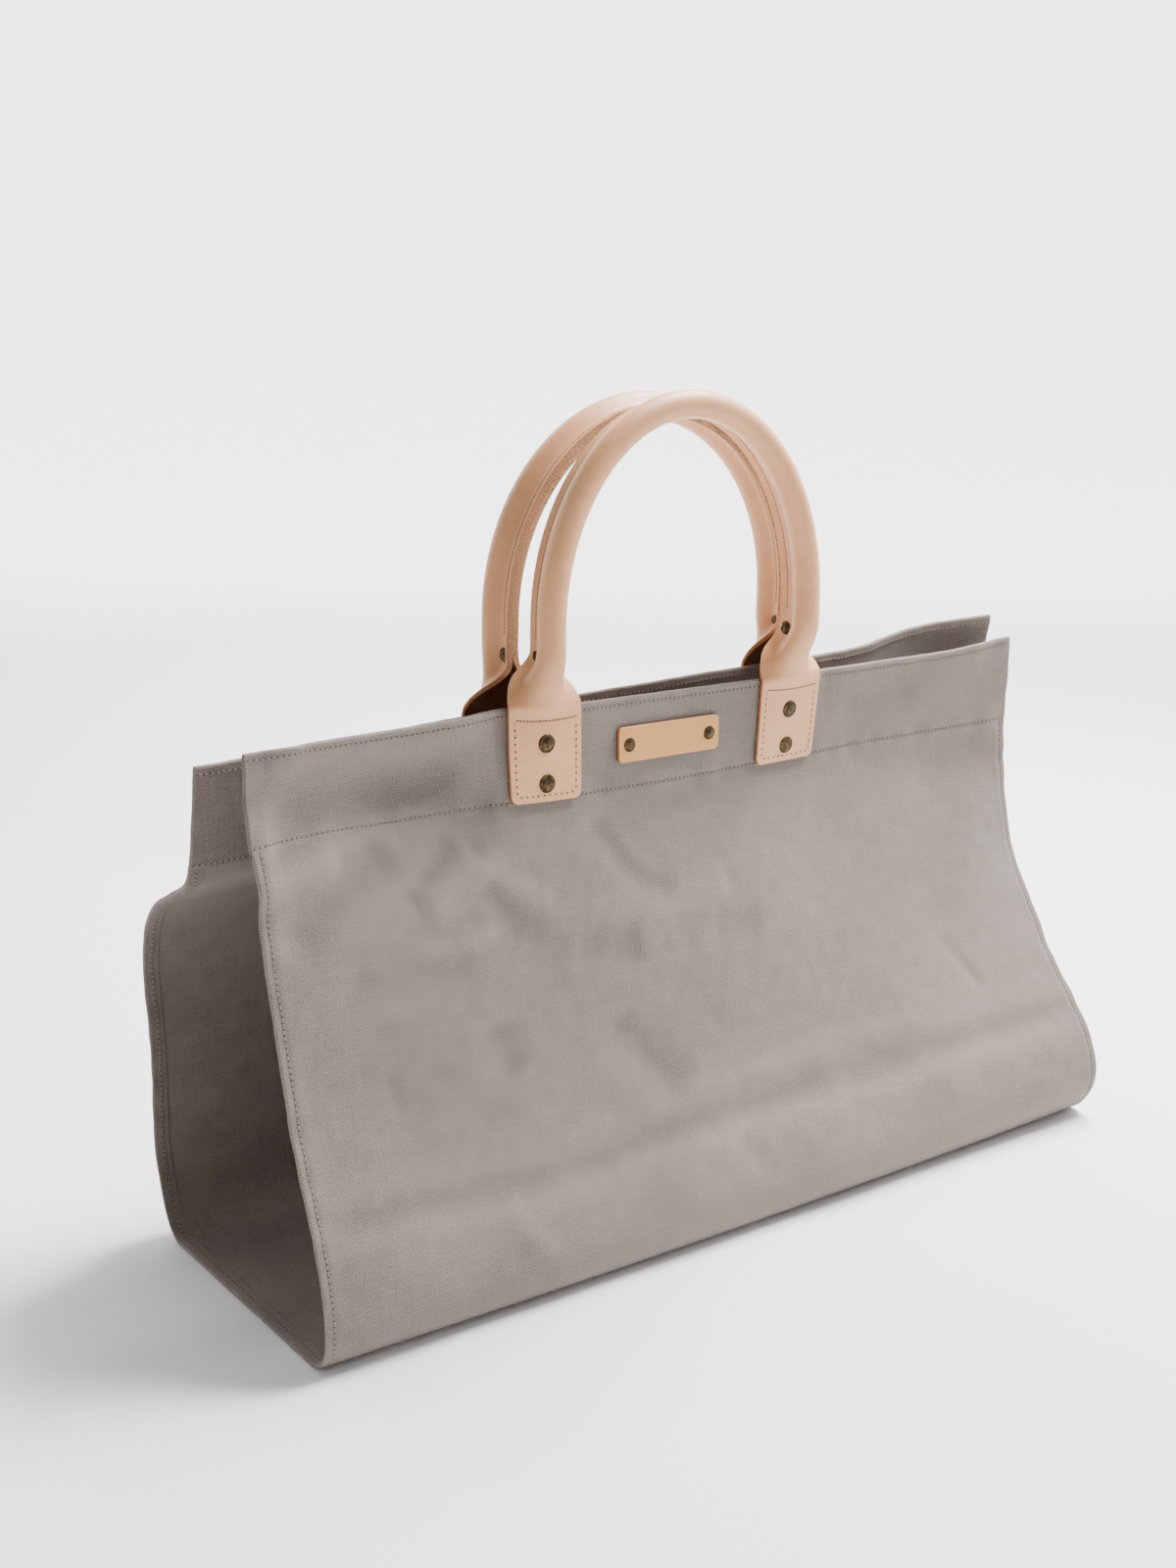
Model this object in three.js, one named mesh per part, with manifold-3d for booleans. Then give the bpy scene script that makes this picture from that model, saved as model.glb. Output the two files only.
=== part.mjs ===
// Canvas log carrier: an open-ended canvas sling that stands on its own floor, with a folded band along
// each top edge, two rolled leather handles riveted through leather backings, and a plain leather tag.
// Millimetres, +Z up. X runs along the sling and the front panel is at -Y. The origin is the floor's middle.
import * as THREE from "three";
import { mergeVertices } from "three/addons/utils/BufferGeometryUtils.js";
import Module from "manifold-3d";

const wasm = await Module();
wasm.setup();

// Driving dimensions of the canvas
const LENGTH = 608;
const TOP = 325;
const HALF_DEPTH = 107;
const BAND = 56.5;
const CANVAS = 1.6;
const FACING = 1.5;
const SIDE_HEM = 10;
const SIDE_HEM_EXTRA = 1.1;
const FRONT_LEAN = 1.5;
const BACK_LEAN = -4.5;

// Driving dimensions of the leather
const LEATHER = 2.8;
const BACKING = 2.0;
const TAB_WIDTH = 50.5;
const TAB_CORNER = 5;
const HANDLE_SPACING = 198;
const HANDLE_RISE = 180;
const TUBE = 17;
const FIN = 9.5;
const SEAM_RIVET_INSET = 4.6;
const SEAM_RIVET_RISE = 28;
const SHOULDER = 21;
const LEG = 48;
const TAG_WIDTH = 80.5;
const TAG_HEIGHT = 22;
const TAG_CORNER = 3;
const TAG_DROP = 29;
const TAG_SHIFT = -9;
const BACKING_WIDTH = 38;
const BACKING_DROP = 6;

// Driving dimensions of the rivets
const TAB_RIVET = 11.4;
const SMALL_RIVET = 8.8;
const RIVET_DOME = 1.5;
const SHANK = 3.6;
const TAB_RIVET_DROP = 21.5;
const TAB_RIVET_PITCH = 24;
const TAG_RIVET_INSET = 8;

// Clearance between pieces that touch, under the leather on a band, and round a shank
const GAP = 0.3;
const LEATHER_GAP = 0.6;
const SHANK_GAP = 0.35;

// How finely the sheets are divided
const SLING_COLUMNS = 16;
const BAND_ROWS = 3;
const ARC_STEPS = 3;
const SHOULDER_STEPS = 5;
const LEG_STEPS = 2;
const ARCH_STEPS = 8;
const ROUND_SIDES = 10;
const HOLE_SIDES = 6;
const PLATE_STEP = 20;
const CORNER_TURNS = [0, 30, 60, 90];

// The top band, seen from above. at: share of half the length. top, seam: how far the band's two edges stand
// out from the middle plane. dent: how far it sags in between them. All three are shares of HALF_DEPTH.
// rise: how far the top edge rises, a share of TOP. deep: the band's height there, a share of BAND.
const FRONT_BAND = [
  { at: -1.0, top: 0.25, seam: 0.32, dent: 0.01, rise: 0.002, deep: 0.9 },
  { at: -0.85, top: 0.17, seam: 0.27, dent: 0.04, rise: 0.005, deep: 0.88 },
  { at: -0.66, top: 0.12, seam: 0.185, dent: 0.06, rise: 0.007, deep: 0.95 },
  { at: -0.45, top: 0.115, seam: 0.15, dent: 0.01, rise: 0.006, deep: 1.0 },
  { at: -0.32, top: 0.13, seam: 0.14, dent: 0, rise: 0, deep: 1.0 },
  { at: 0.0, top: 0.085, seam: 0.095, dent: 0, rise: -0.007, deep: 1.0 },
  { at: 0.32, top: 0.075, seam: 0.02, dent: 0, rise: -0.01, deep: 1.0 },
  { at: 0.55, top: 0.02, seam: -0.01, dent: 0.015, rise: -0.01, deep: 1.0 },
  { at: 0.78, top: 0.0, seam: -0.015, dent: 0.01, rise: -0.011, deep: 1.0 },
  { at: 1.0, top: 0.0, seam: 0.0, dent: 0, rise: 0.002, deep: 1.05 },
];
const BACK_BAND = [
  { at: -1.0, top: 0.215, seam: 0.31, dent: 0, rise: -0.045, deep: 1.05 },
  { at: -0.7, top: 0.205, seam: 0.28, dent: 0, rise: -0.034, deep: 1.05 },
  { at: -0.32, top: 0.21, seam: 0.25, dent: 0, rise: -0.018, deep: 1.05 },
  { at: 0.0, top: 0.205, seam: 0.24, dent: 0, rise: -0.006, deep: 1.0 },
  { at: 0.32, top: 0.19, seam: 0.225, dent: 0, rise: 0.002, deep: 1.0 },
  { at: 0.6, top: 0.195, seam: 0.235, dent: 0, rise: 0.01, deep: 1.0 },
  { at: 0.78, top: 0.235, seam: 0.27, dent: -0.01, rise: 0.034, deep: 1.0 },
  { at: 1.0, top: 0.16, seam: 0.24, dent: 0, rise: 0.046, deep: 1.0 },
];

// The panels below the band. up: share of the seam's height. left, middle, right: how far the panel stands
// out from the middle plane at the two open ends and half way, as shares of HALF_DEPTH.
const FRONT_PANEL = [
  { up: 1.0, left: 0.32, middle: 0.155, right: 0.0 },
  { up: 0.93, left: 0.36, middle: 0.205, right: 0.005 },
  { up: 0.86, left: 0.39, middle: 0.29, right: 0.015 },
  { up: 0.78, left: 0.43, middle: 0.385, right: 0.05 },
  { up: 0.7, left: 0.485, middle: 0.455, right: 0.105 },
  { up: 0.62, left: 0.545, middle: 0.505, right: 0.2 },
  { up: 0.54, left: 0.61, middle: 0.55, right: 0.325 },
  { up: 0.46, left: 0.67, middle: 0.6, right: 0.455 },
  { up: 0.38, left: 0.755, middle: 0.66, right: 0.6 },
  { up: 0.3, left: 0.86, middle: 0.745, right: 0.765 },
  { up: 0.22, left: 0.94, middle: 0.87, right: 0.905 },
  { up: 0.15, left: 0.985, middle: 0.955, right: 0.97 },
  { up: 0.09, left: 1.0, middle: 0.995, right: 0.98 },
  { up: 0.045, left: 0.975, middle: 0.98, right: 0.93 },
  { up: 0.014, left: 0.915, middle: 0.93, right: 0.86 },
  { up: 0.0, left: 0.82, middle: 0.84, right: 0.77 },
];
const BACK_PANEL = [
  { up: 1.0, left: 0.31, middle: 0.24, right: 0.24 },
  { up: 0.95, left: 0.41, middle: 0.33, right: 0.28 },
  { up: 0.91, left: 0.62, middle: 0.45, right: 0.33 },
  { up: 0.86, left: 0.82, middle: 0.59, right: 0.41 },
  { up: 0.78, left: 0.95, middle: 0.76, right: 0.54 },
  { up: 0.7, left: 0.985, middle: 0.87, right: 0.66 },
  { up: 0.6, left: 1.0, middle: 0.94, right: 0.79 },
  { up: 0.5, left: 1.0, middle: 0.975, right: 0.89 },
  { up: 0.4, left: 1.0, middle: 0.99, right: 0.955 },
  { up: 0.3, left: 1.0, middle: 1.0, right: 0.985 },
  { up: 0.2, left: 0.99, middle: 0.99, right: 0.985 },
  { up: 0.12, left: 0.96, middle: 0.96, right: 0.96 },
  { up: 0.06, left: 0.915, middle: 0.915, right: 0.91 },
  { up: 0.02, left: 0.855, middle: 0.855, right: 0.85 },
  { up: 0.0, left: 0.77, middle: 0.77, right: 0.77 },
];
const FLOOR_ROWS = [0];

// Soft folds in the front panel. x0, x1: shares of half the length. up0, up1: shares of the seam's height.
// wide: share of the seam's height. out: how far the fold stands out, a share of HALF_DEPTH.
const FRONT_FOLDS = [
  { x0: -0.72, up0: 0.68, x1: -0.3, up1: 0.98, wide: 0.06, out: 0.03 },
  { x0: -0.3, up0: 0.98, x1: 0.02, up1: 0.66, wide: 0.05, out: -0.02 },
  { x0: -0.85, up0: 0.88, x1: -0.5, up1: 1.0, wide: 0.07, out: -0.03 },
  { x0: -0.05, up0: 0.72, x1: 0.42, up1: 0.8, wide: 0.06, out: 0.02 },
  { x0: -0.35, up0: 0.5, x1: -0.15, up1: 0.28, wide: 0.09, out: -0.025 },
  { x0: 0.1, up0: 0.32, x1: 0.8, up1: 0.38, wide: 0.07, out: -0.02 },
];

// The handles. side: -1 in front, 1 behind. shift, spread: where the legs' middle lies along the sling and
// how far apart they are, as shares of HANDLE_SPACING. drop: how far the crown hangs lower, a share of
// HANDLE_RISE. legGap, crownGap: how far the fin's edge keeps from the middle plane at the top of a shoulder
// and at the crown, as shares of TUBE. twistLeft, twistRight: how far a leg's fin turns to the middle, in
// degrees.
const HANDLES = [
  {
    name: "front",
    side: -1,
    shift: -0.03,
    spread: 0.985,
    drop: 0,
    legGap: 0.18,
    crownGap: 0.18,
    twistLeft: 21,
    twistRight: 5,
  },
  {
    name: "back",
    side: 1,
    shift: -0.02,
    spread: 1.075,
    drop: 0.018,
    legGap: 0.44,
    crownGap: 0.44,
    twistLeft: -17,
    twistRight: 13,
  },
];

const CANVAS_GREY = 0xa89f98;
const LEATHER_TAN = 0xd9b59c;
const TAG_TAN = 0xd0a983;
const OLD_BRASS = 0x6a5a3c;

const clamp = (value, low, high) => Math.min(high, Math.max(low, value));
const mix = (a, b, share) => a + (b - a) * share;
const radians = (degrees) => (degrees * Math.PI) / 180;

function ease(share) {
  const s = clamp(share, 0, 1);
  return s * s * (3 - 2 * s);
}

// A smooth curve through a table's column, as a cubic with the slopes of its neighbours.
function column(rows, key, at) {
  const x = clamp(at, rows[0].at, rows[rows.length - 1].at);
  let i = 0;
  while (i < rows.length - 2 && x > rows[i + 1].at) {
    i += 1;
  }
  const slope = (k) => {
    const a = rows[Math.max(k - 1, 0)];
    const b = rows[Math.min(k + 1, rows.length - 1)];
    return (b[key] - a[key]) / (b.at - a.at);
  };
  const width = rows[i + 1].at - rows[i].at;
  const s = (x - rows[i].at) / width;
  const start = rows[i][key] * (1 + 2 * s) * (1 - s) ** 2 + slope(i) * width * s * (1 - s) ** 2;
  const end = rows[i + 1][key] * s * s * (3 - 2 * s) + slope(i + 1) * width * s * s * (s - 1);
  return start + end;
}

// A panel's reach at station t, from its row's values at the two ends and the middle.
function acrossRow(row, t) {
  const even = (row.left + row.right) / 2 - row.middle;
  const odd = (row.right - row.left) / 2;
  return row.middle + odd * t + even * t * t;
}

function panelOf(side) {
  return side < 0
    ? { band: FRONT_BAND, rows: FRONT_PANEL, lean: FRONT_LEAN }
    : { band: BACK_BAND, rows: BACK_PANEL, lean: BACK_LEAN };
}

function topHeight(side, t) {
  return TOP * (1 + column(panelOf(side).band, "rise", t));
}

// A point on the outer face of the top band, depth below its top edge.
function bandPoint(side, t, depth) {
  const { band, lean } = panelOf(side);
  const share = depth / BAND;
  const sag = column(band, "dent", t) * Math.sin(Math.PI * share);
  const reach = mix(column(band, "top", t), column(band, "seam", t), share) - sag;
  const x = (t * LENGTH) / 2 + lean;
  const height = topHeight(side, t) - depth * column(band, "deep", t);
  return new THREE.Vector3(x, side * reach * HALF_DEPTH, height);
}

// The band's point and its normal towards the inside of the sling.
function bandSeat(side, x, depth) {
  const t = (x - panelOf(side).lean) / (LENGTH / 2);
  const step = 1 / LENGTH;
  const along = bandPoint(side, t + step, depth).sub(bandPoint(side, t - step, depth));
  const down = bandPoint(side, t, depth + 1).sub(bandPoint(side, t, depth));
  const inward = along.cross(down).normalize();
  if (inward.y * side > 0) {
    inward.negate();
  }
  return { point: bandPoint(side, t, depth), inward };
}

function foldHeight(t, up) {
  const seamHeight = TOP - BAND;
  let out = 0;
  for (const fold of FRONT_FOLDS) {
    const start = new THREE.Vector2((fold.x0 * LENGTH) / 2, fold.up0 * seamHeight);
    const end = new THREE.Vector2((fold.x1 * LENGTH) / 2, fold.up1 * seamHeight);
    const here = new THREE.Vector2((t * LENGTH) / 2, up * seamHeight);
    const run = end.clone().sub(start);
    const share = here.clone().sub(start).dot(run) / run.lengthSq();
    const off = Math.abs(here.clone().sub(start).cross(run)) / run.length() / (fold.wide * seamHeight);
    const fade = ease(share * 4 + 0.5) * ease((1 - share) * 4 + 0.5);
    out += fold.out * fade * Math.exp(-off * off);
  }
  return out * ease((1 - up) * 8);
}

// A point on the outer face of a panel below its band.
function panelPoint(side, t, row) {
  const { band, rows, lean } = panelOf(side);
  const wave = column(band, "seam", t) - acrossRow(rows[0], t);
  const fold = side < 0 ? foldHeight(t, row.up) : 0;
  const reach = acrossRow(row, t) + wave * row.up ** 2 + fold;
  const x = (t * LENGTH) / 2 + lean * row.up;
  return new THREE.Vector3(x, side * reach * HALF_DEPTH, row.up * bandPoint(side, t, BAND).z);
}

// The sling's outer face at station t, from the front top edge under the floor to the back top edge.
function slingSection(t) {
  const rowsOfBand = (side) =>
    Array.from({ length: BAND_ROWS }, (_, k) => bandPoint(side, t, (BAND * k) / BAND_ROWS));
  const front = FRONT_PANEL.map((row) => panelPoint(-1, t, row));
  const back = BACK_PANEL.map((row) => panelPoint(1, t, row)).reverse();
  const floor = FLOOR_ROWS.map((share) => new THREE.Vector3((t * LENGTH) / 2, share * HALF_DEPTH, 0));
  return [...rowsOfBand(-1), ...front, ...floor, ...back, ...rowsOfBand(1).reverse()];
}

function slingStations() {
  const hem = SIDE_HEM / (LENGTH / 2);
  const step = SIDE_HEM_EXTRA / (LENGTH / 2);
  const inner = 1 - hem - step;
  const middle = Array.from({ length: SLING_COLUMNS + 1 }, (_, k) => inner * ((2 * k) / SLING_COLUMNS - 1));
  return [-1, -1 + hem, ...middle, 1 - hem, 1];
}

// Normals of a grid of points, along its columns crossed with down its rows.
function gridNormals(grid) {
  const rows = grid.length;
  const columns = grid[0].length;
  return grid.map((line, r) =>
    line.map((_, c) => {
      const along = line[Math.min(c + 1, columns - 1)].clone().sub(line[Math.max(c - 1, 0)]);
      const down = grid[Math.min(r + 1, rows - 1)][c].clone().sub(grid[Math.max(r - 1, 0)][c]);
      return along.cross(down).normalize();
    }),
  );
}

function offsetGrid(grid, normals, distance) {
  return grid.map((line, r) =>
    line.map((p, c) => {
      const d = typeof distance === "function" ? distance(r, c) : distance;
      return p.clone().addScaledVector(normals[r][c], d);
    }),
  );
}

// A closed solid between two grids of the same size.
function solidBetween(gridA, gridB) {
  const rows = gridA.length;
  const columns = gridA[0].length;
  const positions = [...gridA.flat(), ...gridB.flat()].flatMap((p) => [p.x, p.y, p.z]);
  const a = (r, c) => r * columns + c;
  const b = (r, c) => rows * columns + r * columns + c;
  const index = [];
  const quad = (p, q, r, s) => index.push(p, q, r, p, r, s);
  for (let r = 0; r + 1 < rows; r += 1) {
    for (let c = 0; c + 1 < columns; c += 1) {
      quad(a(r, c), a(r + 1, c), a(r + 1, c + 1), a(r, c + 1));
      quad(b(r, c), b(r, c + 1), b(r + 1, c + 1), b(r + 1, c));
    }
    quad(a(r, 0), b(r, 0), b(r + 1, 0), a(r + 1, 0));
    quad(a(r, columns - 1), a(r + 1, columns - 1), b(r + 1, columns - 1), b(r, columns - 1));
  }
  for (let c = 0; c + 1 < columns; c += 1) {
    quad(a(0, c), a(0, c + 1), b(0, c + 1), b(0, c));
    quad(a(rows - 1, c), b(rows - 1, c), b(rows - 1, c + 1), a(rows - 1, c + 1));
  }
  const geometry = new THREE.BufferGeometry();
  geometry.setAttribute("position", new THREE.Float32BufferAttribute(positions, 3));
  geometry.setIndex(index);
  return faceOut(geometry);
}

function signedVolume(geometry) {
  const position = geometry.getAttribute("position");
  const index = geometry.getIndex().array;
  const corner = (k) => new THREE.Vector3().fromBufferAttribute(position, index[k]);
  let volume = 0;
  for (let k = 0; k < index.length; k += 3) {
    volume += corner(k).dot(corner(k + 1).cross(corner(k + 2))) / 6;
  }
  return volume;
}

function faceOut(geometry) {
  if (signedVolume(geometry) < 0) {
    const index = geometry.getIndex().array;
    for (let k = 0; k < index.length; k += 3) {
      [index[k + 1], index[k + 2]] = [index[k + 2], index[k + 1]];
    }
  }
  return geometry;
}

// Booleans: a mesh becomes a solid, and a solid becomes a mesh again.
function toSolid(geometry) {
  const bare = geometry.clone();
  bare.deleteAttribute("normal");
  bare.deleteAttribute("uv");
  const merged = mergeVertices(bare, 1e-4);
  const vertProperties = new Float32Array(merged.getAttribute("position").array);
  const triVerts = new Uint32Array(merged.getIndex().array);
  return new wasm.Manifold(new wasm.Mesh({ numProp: 3, vertProperties, triVerts }));
}

function toGeometry(solid) {
  const mesh = solid.getMesh();
  const geometry = new THREE.BufferGeometry();
  geometry.setAttribute("position", new THREE.Float32BufferAttribute(mesh.vertProperties, 3));
  geometry.setIndex(new THREE.BufferAttribute(mesh.triVerts, 1));
  return geometry;
}

// A geometry made round +Y, laid along a direction at a point.
function place(geometry, point, direction) {
  const turn = new THREE.Quaternion().setFromUnitVectors(new THREE.Vector3(0, 1, 0), direction);
  return geometry.applyQuaternion(turn).translate(point.x, point.y, point.z);
}

// Every rivet: where its outer cap sits, which way it runs in, its size and the leather and cloth it holds.
const STACK_TAB = LEATHER + CANVAS + FACING + BACKING + 2 * LEATHER_GAP + GAP;
const STACK_TAG = LEATHER + LEATHER_GAP + CANVAS + FACING + GAP;
const STACK_FIN = 2 * LEATHER + GAP;

function rivetOn(side, name, x, depth, diameter, stack) {
  const { point, inward } = bandSeat(side, x, depth);
  const cap = point.addScaledVector(inward, -(LEATHER_GAP + LEATHER));
  return { name, cap, inward, diameter, stack };
}

function tabRivets() {
  const rivets = [];
  for (const handle of HANDLES) {
    for (const end of [-1, 1]) {
      for (const [k, level] of ["upper", "lower"].entries()) {
        const name = `rivet_${handle.name}_${end < 0 ? "left" : "right"}_${level}`;
        const depth = TAB_RIVET_DROP + k * TAB_RIVET_PITCH;
        rivets.push(rivetOn(handle.side, name, tabX(handle, end), depth, TAB_RIVET, STACK_TAB));
      }
    }
  }
  return rivets;
}

function tagRivets() {
  return [-1, 1].map((end) => {
    const x = TAG_SHIFT + end * (TAG_WIDTH / 2 - TAG_RIVET_INSET);
    const label = `tag_rivet_${end < 0 ? "left" : "right"}`;
    return rivetOn(-1, label, x, TAG_DROP, SMALL_RIVET, STACK_TAG);
  });
}

// One rivet with a domed cap, a shank and a flatter cap behind, turned round its own axis.
function rivetGeometry({ cap, inward, diameter, stack }) {
  const capR = diameter / 2;
  const backR = capR * 0.86;
  const shankR = SHANK / 2;
  const far = stack + 2 * GAP;
  const profile = [
    [0, -RIVET_DOME],
    [capR * 0.7, -RIVET_DOME * 0.75],
    [capR, 0],
    [shankR, 0],
    [shankR, far],
    [backR, far],
    [0, far + RIVET_DOME * 0.8],
  ].map(([r, y]) => new THREE.Vector2(r, y));
  const start = cap.clone().addScaledVector(inward, -GAP);
  return faceOut(place(closedLathe(profile), start, inward));
}

function closedLathe(profile) {
  const lathe = new THREE.LatheGeometry(profile, ROUND_SIDES);
  lathe.deleteAttribute("normal");
  lathe.deleteAttribute("uv");
  return mergeVertices(lathe, 1e-4);
}

// The hole that a rivet's shank needs through every layer.
function shankHole({ cap, inward, stack }) {
  const reach = stack + 8 * GAP;
  const radius = SHANK / 2 + SHANK_GAP;
  const hole = new THREE.CylinderGeometry(radius, radius, reach, HOLE_SIDES);
  return toSolid(place(hole, cap.clone().addScaledVector(inward, stack / 2), inward));
}

function pierced(geometry, rivets) {
  return toGeometry(rivets.reduce((solid, rivet) => solid.subtract(shankHole(rivet)), toSolid(geometry)));
}

// The sling's outer face as a grid, a row from end to end at each height, with its inward normals.
function slingSurface() {
  const sections = slingStations().map(slingSection);
  const grid = sections[0].map((_, r) => sections.map((section) => section[r]));
  return { grid, normals: gridNormals(grid) };
}

function slingGeometry({ grid, normals }) {
  const seamRows = [BAND_ROWS, grid.length - 1 - BAND_ROWS];
  const last = grid[0].length - 1;
  const inner = offsetGrid(grid, normals, (r, c) => {
    const inHem = (c <= 1 || c >= last - 1) && r > seamRows[0] && r < seamRows[1];
    return CANVAS + (inHem ? SIDE_HEM_EXTRA : 0);
  });
  return solidBetween(grid, inner);
}

// The layer folded to the inside of a top band, as deep as the band.
function facingGeometry({ grid, normals }, side) {
  const first = side < 0 ? 0 : grid.length - 1 - BAND_ROWS;
  const rows = grid.slice(first, first + BAND_ROWS + 1);
  const rowNormals = normals.slice(first, first + BAND_ROWS + 1);
  const near = offsetGrid(rows, rowNormals, CANVAS + GAP);
  const far = offsetGrid(rows, rowNormals, CANVAS + GAP + FACING);
  return solidBetween(near, far);
}

// A plate with rounded corners that follows a band.
function plateOnBand(side, { x, depth, width, height, corner, from, thickness }) {
  const flat = width / 2 - corner;
  const right = CORNER_TURNS.map((angle) => ({
    across: flat + corner * Math.sin(radians(angle)),
    tall: height / 2 - corner * (1 - Math.cos(radians(angle))),
  }));
  const left = right.map(({ across, tall }) => ({ across: -across, tall })).reverse();
  const steps = Math.max(1, Math.round((2 * flat) / PLATE_STEP));
  const middle = Array.from({ length: steps - 1 }, (_, k) => ({
    across: flat * ((2 * (k + 1)) / steps - 1),
    tall: height / 2,
  }));
  const columns = [...left, ...middle, ...right];
  const build = (distance) =>
    [1, -1].map((level) =>
      columns.map(({ across, tall }) => {
        const { point, inward } = bandSeat(side, x + across, depth - level * tall);
        return point.addScaledVector(inward, distance);
      }),
    );
  return solidBetween(build(from), build(from + thickness));
}

function tagGeometry() {
  return plateOnBand(-1, {
    x: TAG_SHIFT,
    depth: TAG_DROP,
    width: TAG_WIDTH,
    height: TAG_HEIGHT,
    corner: TAG_CORNER,
    from: -(LEATHER_GAP + LEATHER),
    thickness: LEATHER,
  });
}

function backingGeometry(side, x) {
  const height = BAND - 2 * BACKING_DROP;
  return plateOnBand(side, {
    x,
    depth: BAND / 2,
    width: BACKING_WIDTH,
    height,
    corner: Math.min(BACKING_WIDTH, height) * 0.48,
    from: CANVAS + GAP + FACING + LEATHER_GAP,
    thickness: BACKING,
  });
}

// The rolled strap. Its section is flat at roll 0, and at roll 1 a round tube closed by a fin of both edges.
const ROLL_RADIUS = (TUBE - LEATHER) / 2;
const ROLL_ANGLE = radians(130);
const FIN_HALF_GAP = (LEATHER + GAP) / 2;
const NECK = (ROLL_RADIUS * Math.sin(ROLL_ANGLE) - FIN_HALF_GAP) / -Math.cos(ROLL_ANGLE);
const ROLLED_HALF_WIDTH = ROLL_RADIUS * ROLL_ANGLE + NECK + FIN;
const TUBE_DEPTH = ROLL_RADIUS * (1 - Math.cos(ROLL_ANGLE)) + NECK * Math.sin(ROLL_ANGLE);

// Half of the section: across the strap and in towards the other handle, from the middle line to the edge.
function rollSection(roll, halfWidth) {
  const scale = halfWidth / ROLLED_HALF_WIDTH;
  const chord = 2 * ROLL_RADIUS * Math.sin(ROLL_ANGLE / ARC_STEPS / 2);
  const pieces = Array.from({ length: ARC_STEPS }, (_, k) => ({
    length: chord,
    angle: ((k + 0.5) * ROLL_ANGLE) / ARC_STEPS,
  }));
  pieces.push({ length: NECK, angle: ROLL_ANGLE }, { length: FIN, angle: Math.PI / 2 });
  const points = [{ across: 0, inward: 0 }];
  for (const { length, angle } of pieces) {
    const last = points[points.length - 1];
    points.push({
      across: last.across + length * scale * Math.cos(angle * roll),
      inward: last.inward + length * scale * Math.sin(angle * roll),
    });
  }
  return points;
}

function fullSection(roll, halfWidth) {
  const half = rollSection(roll, halfWidth);
  const mirrored = half.slice(1).reverse();
  return [...mirrored.map((p) => ({ across: -p.across, inward: p.inward })), ...half];
}

// The flat tab on one end of a strap, row by row from its lower edge, on the band's outer face.
function tabRows(handle, end) {
  const rowsOfTab = [
    { up: 0, narrower: TAB_CORNER },
    { up: TAB_CORNER * 0.3, narrower: TAB_CORNER * 0.29 },
    { up: TAB_CORNER, narrower: 0 },
    { up: BAND / 2, narrower: 0 },
    { up: BAND, narrower: 0 },
  ];
  return rowsOfTab.map(({ up, narrower }) =>
    fullSection(0, TAB_WIDTH / 2 - narrower).map(({ across }) => {
      const { point, inward } = bandSeat(handle.side, tabX(handle, end) + end * across, BAND - up);
      return point.addScaledVector(inward, -(LEATHER_GAP + LEATHER / 2));
    }),
  );
}

function tabX({ shift, spread }, end) {
  return HANDLE_SPACING * (shift + (end * spread) / 2);
}

// The line that the tube's outermost side follows: up a leg, then over a half ellipse to the crown.
function handleSpine(handle, end) {
  const legX = tabX(handle, end);
  const edge = bandSeat(handle.side, legX, 0);
  const start = edge.point.addScaledVector(edge.inward, -(LEATHER_GAP + LEATHER / 2));
  const shoulderTop = TOP + SHOULDER;
  const archStart = TOP + LEG;
  const crownZ = TOP + HANDLE_RISE * (1 - handle.drop) - TUBE / 2;
  const legY = handle.side * (TUBE_DEPTH + FIN + handle.legGap * TUBE);
  const crownY = handle.side * (TUBE_DEPTH + FIN + handle.crownGap * TUBE);
  const yAt = (z) => mix(legY, crownY, ease((z - shoulderTop) / (crownZ - shoulderTop)));
  const stations = [];
  for (let k = 1; k <= SHOULDER_STEPS; k += 1) {
    const share = k / SHOULDER_STEPS;
    const y = mix(start.y, legY, ease(share));
    const z = mix(start.z, shoulderTop, share);
    stations.push({ point: new THREE.Vector3(legX, y, z), roll: share ** 1.5 });
  }
  for (let k = 1; k <= LEG_STEPS; k += 1) {
    const z = mix(shoulderTop, archStart, k / LEG_STEPS);
    stations.push({ point: new THREE.Vector3(legX, yAt(z), z), roll: 1 });
  }
  for (let k = 1; k <= ARCH_STEPS; k += 1) {
    const angle = (Math.PI / 2) * (k / ARCH_STEPS);
    const x = mix(HANDLE_SPACING * handle.shift, legX, Math.cos(angle));
    const z = mix(archStart, crownZ, Math.sin(angle));
    stations.push({ point: new THREE.Vector3(x, yAt(z), z), roll: 1 });
  }
  return stations;
}

// Section frames along the whole strap, from the left tab's release to the right one's.
function strapStations(handle) {
  const left = handleSpine(handle, -1);
  const right = handleSpine(handle, 1).slice(0, -1).reverse();
  const stations = [...left, ...right];
  const last = stations.length - 1;
  return stations.map((station, k) => {
    const before = stations[Math.max(k - 1, 0)].point;
    const after = stations[Math.min(k + 1, last)].point;
    const tangent = after.clone().sub(before);
    tangent.y = 0;
    tangent.normalize();
    const twist = radians(mix(handle.twistLeft, handle.twistRight, ease(k / last))) * station.roll;
    const inward = new THREE.Vector3(0, -handle.side, 0);
    const across = new THREE.Vector3(0, 1, 0).cross(tangent).negate();
    const centre = inward.clone().multiplyScalar(ROLL_RADIUS);
    const turn = new THREE.Quaternion().setFromAxisAngle(tangent, twist * handle.side);
    const swing = centre.clone().sub(centre.clone().applyQuaternion(turn));
    return {
      ...station,
      point: station.point.clone().add(swing),
      inward: inward.applyQuaternion(turn),
      across: across.applyQuaternion(turn),
    };
  });
}

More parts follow.
